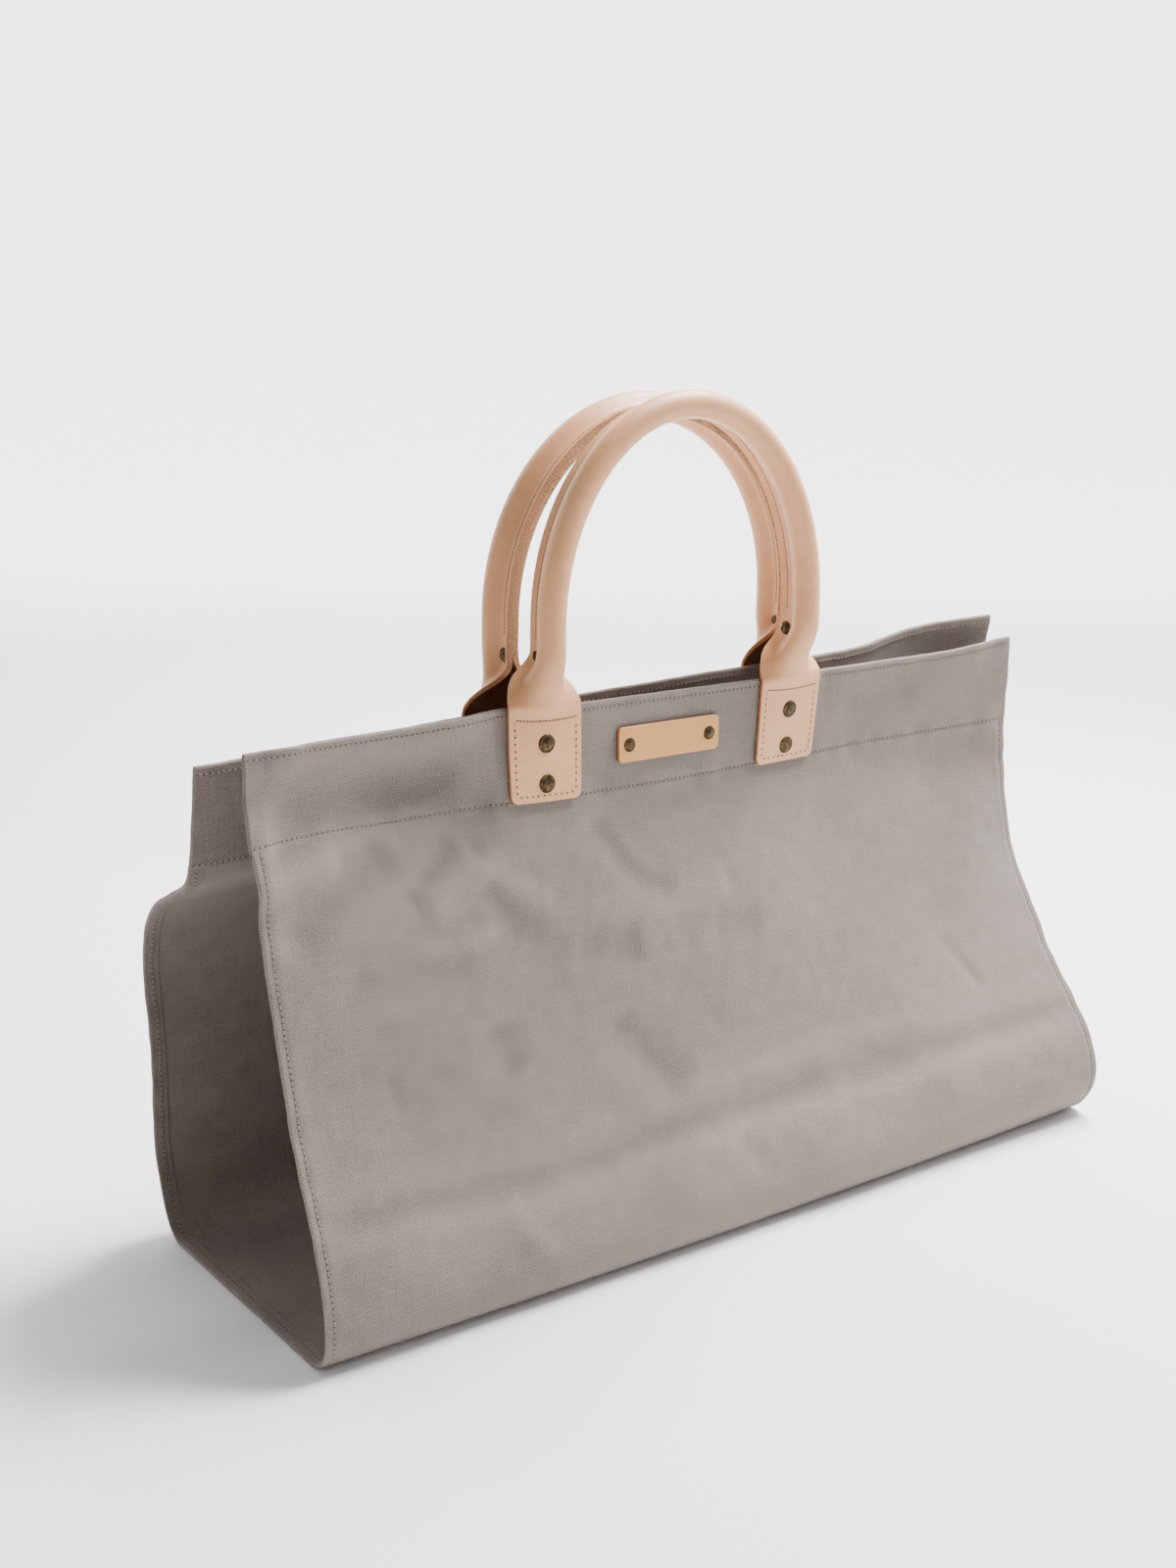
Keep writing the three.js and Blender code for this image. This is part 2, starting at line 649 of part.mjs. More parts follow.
function strapGrid(handle) {
  const rows = strapStations(handle).map(({ point, roll, inward, across }) => {
    const halfWidth = mix(TAB_WIDTH / 2, ROLLED_HALF_WIDTH, roll);
    return fullSection(roll, halfWidth).map((p) =>
      point.clone().addScaledVector(across, p.across).addScaledVector(inward, p.inward),
    );
  });
  return [...tabRows(handle, -1), ...rows, ...tabRows(handle, 1).reverse()];
}

// The small rivet through both layers of the fin, at each end of the closed seam.
function finRivets(handle) {
  const stations = strapStations(handle);
  return [-1, 1].map((end) => {
    const k = end < 0 ? SHOULDER_STEPS - 1 : stations.length - SHOULDER_STEPS;
    const { point, inward, across } = stations[k];
    const left = across.clone().multiplyScalar(across.x < 0 ? 1 : -1);
    const cap = point
      .clone()
      .setZ(TOP + SEAM_RIVET_RISE)
      .addScaledVector(inward, TUBE_DEPTH + FIN - SEAM_RIVET_INSET)
      .addScaledVector(left, FIN_HALF_GAP + LEATHER / 2);
    const name = `seam_rivet_${handle.name}_${end < 0 ? "left" : "right"}`;
    return { name, cap, inward: left.negate(), diameter: SMALL_RIVET, stack: STACK_FIN };
  });
}

function handleGeometry(handle, rivets) {
  const grid = strapGrid(handle);
  const normals = gridNormals(grid);
  const strap = solidBetween(offsetGrid(grid, normals, LEATHER / 2), offsetGrid(grid, normals, -LEATHER / 2));
  return pierced(strap, rivets);
}

// Materials, one for each kind of stuff
function material(color, roughness, metalness) {
  return new THREE.MeshStandardMaterial({ color, roughness, metalness });
}

const canvas = material(CANVAS_GREY, 0.95, 0);
const leather = material(LEATHER_TAN, 0.6, 0);
const tagLeather = material(TAG_TAN, 0.6, 0);
const brass = material(OLD_BRASS, 0.45, 0.9);

const carrier = new THREE.Group();
carrier.name = "canvas_log_carrier";

function add(name, geometry, look) {
  const mesh = new THREE.Mesh(geometry, look);
  mesh.name = name;
  carrier.add(mesh);
}

function addCanvas(onTabs, onTag) {
  const surface = slingSurface();
  add("canvas_sling", pierced(slingGeometry(surface), [...onTabs, ...onTag]), canvas);
  for (const { name, side } of HANDLES) {
    const through = side < 0 ? [...onTabs, ...onTag] : onTabs;
    add(`top_band_${name}`, pierced(facingGeometry(surface, side), through), canvas);
  }
}

function addHandles(onTabs) {
  for (const handle of HANDLES) {
    const own = onTabs.filter(({ name }) => name.includes(handle.name));
    const onFin = finRivets(handle);
    add(`handle_${handle.name}`, handleGeometry(handle, [...own, ...onFin]), leather);
    for (const end of [-1, 1]) {
      const geometry = pierced(backingGeometry(handle.side, tabX(handle, end)), own);
      add(`backing_${handle.name}_${end < 0 ? "left" : "right"}`, geometry, leather);
    }
    onFin.forEach((rivet) => add(rivet.name, rivetGeometry(rivet), brass));
  }
}

const onTabs = tabRivets();
const onTag = tagRivets();
addCanvas(onTabs, onTag);
addHandles(onTabs);
add("leather_tag", pierced(tagGeometry(), onTag), tagLeather);
[...onTabs, ...onTag].forEach((rivet) => add(rivet.name, rivetGeometry(rivet), brass));

export default carrier;
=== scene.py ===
import math

import bpy
import numpy as np
from mathutils import Matrix, Vector


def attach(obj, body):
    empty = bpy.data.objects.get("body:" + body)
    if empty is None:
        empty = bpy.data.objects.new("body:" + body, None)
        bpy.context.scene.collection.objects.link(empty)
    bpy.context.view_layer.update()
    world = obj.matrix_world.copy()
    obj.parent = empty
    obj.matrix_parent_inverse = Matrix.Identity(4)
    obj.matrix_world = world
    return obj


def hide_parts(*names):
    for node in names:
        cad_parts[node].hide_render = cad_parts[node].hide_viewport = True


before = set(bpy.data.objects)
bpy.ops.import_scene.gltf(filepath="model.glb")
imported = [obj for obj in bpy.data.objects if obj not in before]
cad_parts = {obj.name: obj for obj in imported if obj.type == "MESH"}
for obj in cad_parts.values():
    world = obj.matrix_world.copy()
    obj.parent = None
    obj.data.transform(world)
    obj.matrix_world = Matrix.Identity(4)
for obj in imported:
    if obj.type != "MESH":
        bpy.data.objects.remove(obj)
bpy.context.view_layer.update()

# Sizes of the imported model, in millimetres
LENGTH = 608.0
TOP = 325.0
HALF_DEPTH = 107.0
BAND = 56.5
CANVAS = 1.6
FACING = 1.5
SIDE_HEM = 10.0
LEAN = {-1: 1.5, 1: -4.5}
LEATHER = 2.8
BACKING = 2.0
TAB_WIDTH = 50.5
TAB_CORNER = 5.0
HANDLE_SPACING = 198.0
HANDLE_RISE = 180.0
TUBE = 17.0
FIN = 9.5
SEAM_RIVET_INSET = 4.6
SEAM_RIVET_RISE = 28.0
LEG = 48.0
TAG_WIDTH = 80.5
TAG_HEIGHT = 22.0
TAG_CORNER = 3.0
TAG_DROP = 29.0
TAG_SHIFT = -9.0
BACKING_WIDTH = 38.0
BACKING_DROP = 6.0
TAB_RIVET = 11.4
SMALL_RIVET = 8.8
SHANK = 3.6
TAB_RIVET_DROP = 21.5
TAB_RIVET_PITCH = 24.0
TAG_RIVET_INSET = 8.0
GAP = 0.3
LEATHER_GAP = 0.6

# Sizes that only the looks need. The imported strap's shoulder is 21 mm high.
SHOULDER = 34.0
CLOTH = 1.45
FACING_END = 58.0
SEAM_STITCH = 55.8
TOP_STITCH = 4.6
HEM_STITCH = 5.0
HEM_STEP = 1.1
FOLD_DROP = 1.7
OUTER_LAYER = 0.8
INNER_LAYER = 2.65
LAYER_GAP = 0.06
LIP = 1.5
TAB_SEAT = 0.25
CLOTH_PITCH = 3.4
LEATHER_PITCH = 4.1
SEAM_INSET = 5.0
TAB_STITCH_INSET = 4.0
TAB_STITCH_CORNER = 3.0
ROLL_ANGLE = math.radians(130)

# Where the cloth's grid has its lines: in from a side edge, down a band, and along the rest
EDGE_LINES = (0, 0.3, 0.8, 1.5, 2.6, 4.0, HEM_STITCH, 6.2, 7.8, 9.2, 9.8, 10.2, 10.8, 12.5, 15.5)
INNER_LINES = (19.5, LENGTH / 2 - 1, 4.2)
BAND_BREAKS = (FOLD_DROP, 3.4, TOP_STITCH, 6.0, 52.0, 54.6, SEAM_STITCH, BAND)
BAND_STEPS = (0.9, 1.2, 1.4, 4.2, 1.3, 1.2, 0.7)
BODY_BREAKS = ((0, 1.6, 4, 340, 500), (4, 1.6, 0))
BODY_STEPS = (0.8, 1.2, 3.2, 6.5, 4.4, 1.2, 0.8)

# How far each part of a strap runs in the count q, which goes along it
SHOULDER_SPAN = 5.0
LEG_SPAN = 2.0
ARCH_SPAN = 8.0

# A band at stations along it: how far its edge and its seam stand out, its dent, rise and depth
BAND_COLUMNS = ("at", "top", "seam", "dent", "rise", "deep")
BANDS = {
    -1: np.array([
        (-1.0, 0.25, 0.32, 0.01, 0.002, 0.9), (-0.85, 0.17, 0.27, 0.04, 0.005, 0.88),
        (-0.66, 0.12, 0.185, 0.06, 0.007, 0.95), (-0.45, 0.115, 0.15, 0.01, 0.006, 1.0),
        (-0.32, 0.13, 0.14, 0, 0, 1.0), (0.0, 0.085, 0.095, 0, -0.007, 1.0),
        (0.32, 0.075, 0.02, 0, -0.01, 1.0), (0.55, 0.02, -0.01, 0.015, -0.01, 1.0),
        (0.78, 0.0, -0.015, 0.01, -0.011, 1.0), (1.0, 0.0, 0.0, 0, 0.002, 1.05),
    ]),
    1: np.array([
        (-1.0, 0.215, 0.31, 0, -0.045, 1.05), (-0.7, 0.205, 0.28, 0, -0.034, 1.05),
        (-0.32, 0.21, 0.25, 0, -0.018, 1.05), (0.0, 0.205, 0.24, 0, -0.006, 1.0),
        (0.32, 0.19, 0.225, 0, 0.002, 1.0), (0.6, 0.195, 0.235, 0, 0.01, 1.0),
        (0.78, 0.235, 0.27, -0.01, 0.034, 1.0), (1.0, 0.16, 0.24, 0, 0.046, 1.0),
    ]),
}

# Rows of a panel: share of the seam's height, and how far it stands out at left, middle and right
PANELS = {
    -1: np.array([
        (1.0, 0.32, 0.155, 0.0), (0.93, 0.36, 0.205, 0.005),
        (0.86, 0.39, 0.29, 0.015), (0.78, 0.43, 0.385, 0.05),
        (0.7, 0.485, 0.455, 0.105), (0.62, 0.545, 0.505, 0.2),
        (0.54, 0.61, 0.55, 0.325), (0.46, 0.67, 0.6, 0.455),
        (0.38, 0.755, 0.66, 0.6), (0.3, 0.86, 0.745, 0.765),
        (0.22, 0.94, 0.87, 0.905), (0.15, 0.985, 0.955, 0.97),
        (0.09, 1.0, 0.995, 0.98), (0.045, 0.975, 0.98, 0.93),
        (0.014, 0.915, 0.93, 0.86), (0.0, 0.82, 0.84, 0.77),
    ]),
    1: np.array([
        (1.0, 0.31, 0.24, 0.24), (0.95, 0.41, 0.33, 0.28),
        (0.91, 0.62, 0.45, 0.33), (0.86, 0.82, 0.59, 0.41),
        (0.78, 0.95, 0.76, 0.54), (0.7, 0.985, 0.87, 0.66),
        (0.6, 1.0, 0.94, 0.79), (0.5, 1.0, 0.975, 0.89),
        (0.4, 1.0, 0.99, 0.955), (0.3, 1.0, 1.0, 0.985),
        (0.2, 0.99, 0.99, 0.985), (0.12, 0.96, 0.96, 0.96),
        (0.06, 0.915, 0.915, 0.91), (0.02, 0.855, 0.855, 0.85),
        (0.0, 0.77, 0.77, 0.77),
    ]),
}

# How far the strap is rolled, by its height above the band's top edge in millimetres
ROLL_HEIGHTS = (-8.0, -4.0, 0.0, 5.4, 9.4, 13.5, 17.5, 20.0, 24.0, 28.0, 34.0)
ROLL_SHARES = (0.0, 0.02, 0.1, 0.22, 0.34, 0.5, 0.66, 0.75, 0.86, 0.94, 1.0)

# The floor's rows, as shares of the half depth
FLOOR_ROWS = (-0.66, -0.4, 0.0, 0.4, 0.66)

# Each handle's band, place along it, spread of its legs, lower crown, gap and twist in degrees
HANDLE_KEYS = ("side", "shift", "spread", "drop", "gap", "twist_left", "twist_right")
HANDLES = {
    "front": dict(zip(HANDLE_KEYS, (-1, -0.03, 0.985, 0.0, 0.18, 6.0, 5.0))),
    "back": dict(zip(HANDLE_KEYS, (1, -0.02, 1.075, 0.018, 0.44, -3.0, 13.0))),
}
ENDS = ((-1, "left"), (1, "right"))

# Folds of the cloth: x and depth below the front top edge at both ends, half width and height
FOLDS = [
    (-280, 44, -165, 40, 14, -4.8), (-290, 6, -150, 8, 16, 3.9),
    (150, 32, 215, 28, 14, -1.0), (-304, 82, -250, 72, 10, 3.2),
    (-215, 72, -285, 114, 14, -3.3), (-170, 73, -208, 103, 7, -1.9),
    (-200, 106, -157, 85, 13, 2.6), (-157, 85, -122, 118, 13, 2.6),
    (-122, 118, -86, 130, 14, 2.3), (-86, 130, -27, 130, 14, 2.3),
    (-27, 130, 20, 124, 14, 1.9), (-157, 98, -136, 128, 10, -1.6),
    (-100, 145, -58, 147, 14, -1.9), (5, 148, 42, 155, 14, -1.6),
    (-69, 73, -52, 107, 8, -1.7), (-52, 107, -23, 122, 8, -1.4),
    (-212, 127, -187, 132, 6, 1.0), (-187, 132, -157, 126, 6, 1.0),
    (-256, 142, -176, 143, 13, -2.0), (-166, 180, -158, 208, 12, -2.0),
    (-86, 193, -40, 243, 14, -2.5), (-238, 193, -233, 214, 4, -0.9),
    (-290, 262, -162, 272, 10, -2.7), (-162, 272, -53, 268, 10, -2.9),
    (-53, 268, 71, 268, 10, -2.9), (71, 268, 284, 262, 10, -2.6),
    (-60, 247, 150, 243, 10, 1.4), (-83, 361, 37, 372, 9, 1.4),
    (37, 372, 217, 378, 9, 1.4), (205, 197, 230, 235, 4, -0.9),
    (-179, 285, -104, 385, 9, 1.2), (-7, 283, 12, 310, 8, -1.0),
]


def ease(share):
    s = np.clip(share, 0.0, 1.0)
    return s * s * (3 - 2 * s)


def mix(a, b, share):
    return a + (b - a) * share


def curve(xs, ys, at):
    """A smooth curve through points, as cubics with their neighbours' slopes."""
    xs = np.asarray(xs, float)
    ys = np.asarray(ys, float)
    flat = ys.reshape(len(xs), -1)
    slope = np.empty_like(flat)
    slope[1:-1] = (flat[2:] - flat[:-2]) / (xs[2:] - xs[:-2])[:, None]
    slope[0] = (flat[1] - flat[0]) / (xs[1] - xs[0])
    slope[-1] = (flat[-1] - flat[-2]) / (xs[-1] - xs[-2])
    at = np.asarray(at, float)
    x = np.clip(at.ravel(), xs[0], xs[-1])
    i = np.clip(np.searchsorted(xs, x, side="right") - 1, 0, len(xs) - 2)
    width = xs[i + 1] - xs[i]
    s = ((x - xs[i]) / width)[:, None]
    width = width[:, None]
    start = flat[i] * (1 + 2 * s) * (1 - s) ** 2 + slope[i] * width * s * (1 - s) ** 2
    end = flat[i + 1] * s * s * (3 - 2 * s) + slope[i + 1] * width * s * s * (s - 1)
    return (start + end).reshape(at.shape + ys.shape[1:])


def band_value(side, name, t):
    table = BANDS[side]
    return curve(table[:, 0], table[:, BAND_COLUMNS.index(name)], t)


def band_point(side, t, depth):
    """Points on a top band's outer face, depth below its top edge."""
    t, depth = np.broadcast_arrays(np.asarray(t, float), np.asarray(depth, float))
    share = depth / BAND
    sag = band_value(side, "dent", t) * np.sin(np.pi * share)
    reach = mix(band_value(side, "top", t), band_value(side, "seam", t), share) - sag
    x = t * LENGTH / 2 + LEAN[side]
    height = TOP * (1 + band_value(side, "rise", t)) - depth * band_value(side, "deep", t)
    return np.stack([x, side * reach * HALF_DEPTH, height], -1)


def unit(v):
    return v / np.maximum(np.linalg.norm(v, axis=-1, keepdims=True), 1e-12)


def band_seat(side, x, depth):
    """Points on a band at x, and their normals towards the inside of the sling."""
    x, depth = np.broadcast_arrays(np.asarray(x, float), np.asarray(depth, float))
    t = (x - LEAN[side]) / (LENGTH / 2)
    step = 1 / LENGTH
    along = band_point(side, t + step, depth) - band_point(side, t - step, depth)
    down = band_point(side, t, depth + 1) - band_point(side, t, depth)
    inward = unit(np.cross(along, down))
    inward = inward * np.where(inward[..., 1:2] * side > 0, -1.0, 1.0)
    return band_point(side, t, depth), inward


def panel_points(side, t):
    """The rows of a panel below its band, at stations t."""
    rows = PANELS[side]
    up = rows[:, 0][:, None]
    left, middle, right = (rows[:, k][:, None] for k in (1, 2, 3))
    even = (left + right) / 2 - middle
    odd = (right - left) / 2
    reach = middle + odd * t + even * t * t
    wave = band_value(side, "seam", t) - reach[0]
    reach = reach + wave * up**2
    x = t * LENGTH / 2 + LEAN[side] * up
    height = up * band_point(side, t, BAND)[:, 2]
    return np.stack([x, side * reach * HALF_DEPTH, height], -1)


def grid_normals(grid):
    return unit(np.cross(np.gradient(grid, axis=1), np.gradient(grid, axis=0)))


def turned(normals, at, towards):
    """The normals, all reversed if the one at a place doesn't point the given way."""
    return -normals if np.dot(normals[at], towards) < 0 else normals


def distances(points):
    """How far on from the first each point lies, or each row of points on average."""
    steps = np.linalg.norm(np.diff(points, axis=0), axis=-1)
    return np.concatenate([[0], np.cumsum(steps.reshape(len(steps), -1).mean(1))])


def waves(x, y, wavelength, seed, count=14):
    """A smooth random surface of about unit height."""
    rng = np.random.default_rng(seed)
    total = np.zeros(np.broadcast(x, y).shape)
    for _ in range(count):
        angle = rng.uniform(0, 2 * np.pi)
        k = 2 * np.pi / (wavelength * rng.uniform(0.75, 1.35))
        phase = rng.uniform(0, 2 * np.pi)
        total += np.cos(k * (x * np.cos(angle) + y * np.sin(angle)) + phase)
    return total / math.sqrt(count / 2)


def bell(distance, width):
    return np.exp(-((distance / width) ** 2))


def fold_height(x, s):
    out = np.zeros(x.shape)
    for x0, s0, x1, s1, wide, height in FOLDS:
        run = np.array([x1 - x0, s1 - s0], float)
        length = np.hypot(*run)
        share = ((x - x0) * run[0] + (s - s0) * run[1]) / length**2
        off = ((x - x0) * run[1] - (s - s0) * run[0]) / length
        fade = ease(share * 4 + 0.5) * ease((1 - share) * 4 + 0.5)
        out += height * fade * bell(off, wide)
    return out


def tab_x(handle, end):
    return HANDLE_SPACING * (handle["shift"] + end * handle["spread"] / 2)


def near_leather(side, x, depth):
    """1 where leather is fastened to a band, fading to 0 a little way off."""
    tabs = [tab_x(h, end) for h in HANDLES.values() if h["side"] == side for end, _ in ENDS]
    plates = [(middle, BAND / 2, TAB_WIDTH, BAND, 12) for middle in tabs]
    if side < 0:
        plates.append((TAG_SHIFT, TAG_DROP, TAG_WIDTH, TAG_HEIGHT, 10))
    mask = np.zeros(x.shape)
    for middle, drop, width, height, fade in plates:
        beyond = np.maximum(np.abs(x - middle) - width / 2, np.abs(depth - drop) - height / 2)
        mask = np.maximum(mask, ease(1 - (beyond - 1) / fade))
    return mask


def graded(breaks, steps):
    """Positions along a line: evenly spaced between the breaks, each stretch at its own step."""
    out = [breaks[0]]
    for a, b, step in zip(breaks[:-1], breaks[1:], steps):
        count = max(1, int(round(abs(b - a) / step)))
        out.extend(a + (b - a) * (k + 1) / count for k in range(count))
    return np.array(out)


def grid_solid(outer, inner):
    """The solid between two grids, with a region for each face: 0 outer, 1 inner, 2 rim."""
    rows, cols = outer.shape[:2]
    n = rows * cols
    index = np.arange(n).reshape(rows, cols)
    a, b, c, d = index[:-1, :-1], index[1:, :-1], index[1:, 1:], index[:-1, 1:]
    front = np.stack([a, b, c, d], -1).reshape(-1, 4)
    back = np.stack([a, d, c, b], -1).reshape(-1, 4) + n
    ring = np.concatenate([index[:, 0], index[-1, 1:], index[-2::-1, -1], index[0, -2:0:-1]])
    after = np.roll(ring, -1)
    rim = np.stack([after, ring, ring + n, after + n], -1)
    faces = np.concatenate([front, back, rim])
    region = np.repeat([0, 1, 2], [len(front), len(back), len(rim)])
    verts = np.concatenate([outer.reshape(-1, 3), inner.reshape(-1, 3)])
    p, q, r, s = (verts[faces[:, k]] for k in range(4))
    volume = (p * np.cross(q, r)).sum() + (p * np.cross(r, s)).sum()
    if volume < 0:
        faces = faces[:, ::-1]
    return verts, faces, region


def tube_faces(rings, sides):
    """The quads between a tube's rings, whose vertices follow each other ring by ring."""
    quads = []
    for low in range(0, (rings - 1) * sides, sides):
        for j in range(sides):
            k, high = (j + 1) % sides, low + sides
            quads.append((low + j, low + k, high + k, high + j))
    return quads


def add_object(name, data):
    made = bpy.data.objects.new(name, data)
    bpy.context.scene.collection.objects.link(made)
    return made


def new_mesh(name, verts, faces, materials):
    """A smooth mesh object, from vertices in millimetres."""
    mesh = bpy.data.meshes.new(name)
    mesh.from_pydata((np.asarray(verts) * 0.001).tolist(), [], np.asarray(faces).tolist())
    for material in materials:
        mesh.materials.append(material)
    mesh.polygons.foreach_set("use_smooth", np.ones(len(mesh.polygons), bool))
    return add_object(name, mesh)


def add_mesh(name, verts, faces, materials, region=None, sharp=55.0):
    """A piece of the part, smooth apart from edges sharper than an angle."""
    piece = new_mesh(name, verts, faces, materials)
    if region is not None:
        piece.data.polygons.foreach_set("material_index", np.asarray(region, np.int32))
    piece.data.set_sharp_from_angle(angle=math.radians(sharp))
    piece.data.update()
    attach(piece, "root")
    return piece


def add_cloth_values(mesh, uv, wear_light_and_shade):
    layer = mesh.uv_layers.new(name="cloth")
    loops = np.empty(len(mesh.loops), np.int32)
    mesh.loops.foreach_get("vertex_index", loops)
    layer.data.foreach_set("uv", np.asarray(uv, np.float32)[loops].ravel())
    # Per point: lighter where worn, plus painted highlight on fold crests and painted shade in
    # their hollows
    attribute = mesh.attributes.new("wear_light_and_shade", "FLOAT", "POINT")
    attribute.data.foreach_set("value", np.asarray(wear_light_and_shade, np.float32))


# Materials

TWILL_PITCH = 1.15
TWILL_ALONG, TWILL_DOWN = 0.69, -0.72
YARN_PITCH = 0.9


def feed(tree, socket, value):
    """Sets a socket to a value, or joins it to another node's output."""
    if isinstance(value, bpy.types.NodeSocket):
        tree.links.new(value, socket)
    else:
        socket.default_value = value


def node(tree, kind, links=None, **settings):
    """A shader node with its settings, and its inputs set to values or joined to outputs."""
    made = tree.nodes.new(kind)
    for key, value in settings.items():
        setattr(made, key, value)
    for key, value in (links or {}).items():
        feed(tree, made.inputs[key], value)
    return made


def math_node(tree, operation, a, b=0.0, c=0.0):
    return node(tree, "ShaderNodeMath", {0: a, 1: b, 2: c}, operation=operation).outputs[0]


def times(tree, a, b):
    return math_node(tree, "MULTIPLY", a, b)


def add_up(tree, total, *terms):
    for term in terms:
        total = math_node(tree, "ADD", total, term)
    return total


def object_place(tree):
    return node(tree, "ShaderNodeTexCoord").outputs["Object"]


def noise_node(tree, vector, scale, detail=2.0, rough=0.5):
    links = {"Vector": vector, "Scale": scale, "Detail": detail, "Roughness": rough}
    return node(tree, "ShaderNodeTexNoise", links).outputs["Fac"]


def ramp(tree, value, low, high, to_low=0.0, to_high=1.0):
    links = {"Value": value, "From Min": low, "From Max": high, "To Min": to_low, "To Max": to_high}
    return node(tree, "ShaderNodeMapRange", links).outputs["Result"]


def blend_colour(tree, share, a, b):
    """The colour between a and b. Sockets 0, 6 and 7 are the node's factor and two colours."""
    return node(tree, "ShaderNodeMix", {0: share, 6: a, 7: b}, data_type="RGBA").outputs[2]


def srgb(r, g, b):
    """A linear colour from a 0 to 255 screen colour."""

    def linear(v):
        v /= 255
        return v / 12.92 if v <= 0.04045 else ((v + 0.055) / 1.055) ** 2.4

    return (linear(r), linear(g), linear(b), 1.0)


def shade(tree, share, light, dark):
    """The colour between two screen colours, dark at a share of 0."""
    return blend_colour(tree, share, srgb(*dark), srgb(*light))


def tone_colour(tree, tone, light, dark):
    """The colour between dark and light at a tone from -0.5 to 0.5."""
    share = node(tree, "ShaderNodeClamp", {"Value": math_node(tree, "ADD", tone, 0.5)})
    return shade(tree, share.outputs[0], light, dark)


def stretched(tree, vector, x, y, z=1.0):
    links = {"Vector": vector, "Scale": (x, y, z)}
    return node(tree, "ShaderNodeMapping", links).outputs["Vector"]


def new_material(name, roughness, **sockets):
    material = bpy.data.materials.new(name)
    material.use_nodes = True
    tree = material.node_tree
    tree.nodes.clear()
    shader = node(tree, "ShaderNodeBsdfPrincipled", {"Roughness": roughness})
    for key, value in sockets.items():
        shader.inputs[key.replace("_", " ")].default_value = value
    node(tree, "ShaderNodeOutputMaterial", {"Surface": shader.outputs[0]})
    return material, tree, shader


def dress_shader(tree, shader, colour, height, strength, distance, rough=None):
    """Joins a colour, a bump and, if it varies, a roughness to a material's shader."""
    feed(tree, shader.inputs["Base Color"], colour)
    links = {"Height": height, "Strength": strength, "Distance": distance}
    feed(tree, shader.inputs["Normal"], node(tree, "ShaderNodeBump", links).outputs[0])
    if rough is not None:
        feed(tree, shader.inputs["Roughness"], rough)


def canvas_material(name, light, dark):
    """Cotton twill: slanting ribs over yarns, slubs, specks and faint clouds, and wear with painted
    highlight on fold crests and painted shade in their hollows.
    """
    material, tree, shader = new_material(
        name, 0.92, Specular_IOR_Level=0.25, Sheen_Weight=0.12, Sheen_Roughness=0.6
    )

    def stripes(way, pitch):
        wave = math_node(tree, "SINE", times(tree, way, 2 * math.pi / pitch))
        return math_node(tree, "MULTIPLY_ADD", wave, 0.5, 0.5)

    def slubs(x, y):
        return times(tree, noise_node(tree, stretched(tree, uv, x, y), 1.0, 2.0, 0.6), 0.5)

    uv = node(tree, "ShaderNodeUVMap", uv_map="cloth").outputs["UV"]
    split = node(tree, "ShaderNodeSeparateXYZ", {"Vector": uv})
    u, v = (times(tree, split.outputs[axis], 1000.0) for axis in "XY")
    drift = times(tree, noise_node(tree, uv, 160.0), 1.1)
    slant = add_up(tree, times(tree, u, TWILL_ALONG), times(tree, v, TWILL_DOWN), drift)
    yarn = stripes(u, YARN_PITCH)
    rib = times(tree, stripes(slant, TWILL_PITCH), ramp(tree, yarn, 0.0, 1.0, 0.65, 1.0))
    slub = add_up(tree, slubs(60.0, 900.0), slubs(900.0, 50.0))
    speck = noise_node(tree, uv, 1300.0, 1.0, 0.6)
    cloud = noise_node(tree, uv, 14.0, 4.0, 0.55)
    # Wear with painted highlight and shade: lighter where worn and on fold crests, darker in the
    # hollows
    wear_light_and_shade = node(tree, "ShaderNodeAttribute", attribute_name="wear_light_and_shade").outputs["Fac"]
    tone = add_up(
        tree,
        ramp(tree, rib, 0.0, 1.0, -0.3, 0.3),
        ramp(tree, slub, 0.35, 0.65, -0.12, 0.12),
        ramp(tree, speck, 0.35, 0.65, -0.3, 0.3),
        ramp(tree, cloud, 0.3, 0.7, -0.03, 0.03),
        times(tree, wear_light_and_shade, 0.3),
    )
    height = add_up(tree, times(tree, rib, 0.6), times(tree, yarn, 0.25), times(tree, slub, 0.9))
    colour = tone_colour(tree, tone, light, dark)
    rough = ramp(tree, slub, 0.3, 0.7, 0.88, 0.98)
    dress_shader(tree, shader, colour, height, 0.75, 0.00022, rough)
    return material


def leather_material(name, light, dark, roughness):
    """Smooth vegetable-tanned leather: mottled, with pores and fine wrinkles."""
    material, tree, shader = new_material(
        name, roughness, Specular_IOR_Level=0.5, Coat_Weight=0.16, Coat_Roughness=0.38
    )
    place = object_place(tree)
    cloud = noise_node(tree, place, 7.0, 5.0, 0.6)
    fine = noise_node(tree, place, 160.0, 3.0, 0.6)
    links = {"Vector": place, "Scale": 900.0, "Randomness": 1.0}
    pores = node(tree, "ShaderNodeTexVoronoi", links, feature="DISTANCE_TO_EDGE")
    pores = times(tree, ramp(tree, pores.outputs["Distance"], 0.0, 0.25), 0.35)
    wrinkle = noise_node(tree, stretched(tree, place, 1.0, 1.0, 0.35), 420.0, 4.0, 0.65)
    mottle = ramp(tree, cloud, 0.32, 0.68, -0.5, 0.5)
    tone = add_up(tree, mottle, ramp(tree, fine, 0.3, 0.7, -0.22, 0.22))
    colour = tone_colour(tree, tone, light, dark)
    rough = ramp(tree, fine, 0.3, 0.7, roughness - 0.06, roughness + 0.08)
    dress_shader(tree, shader, colour, add_up(tree, pores, wrinkle), 0.35, 0.0002, rough)
    return material


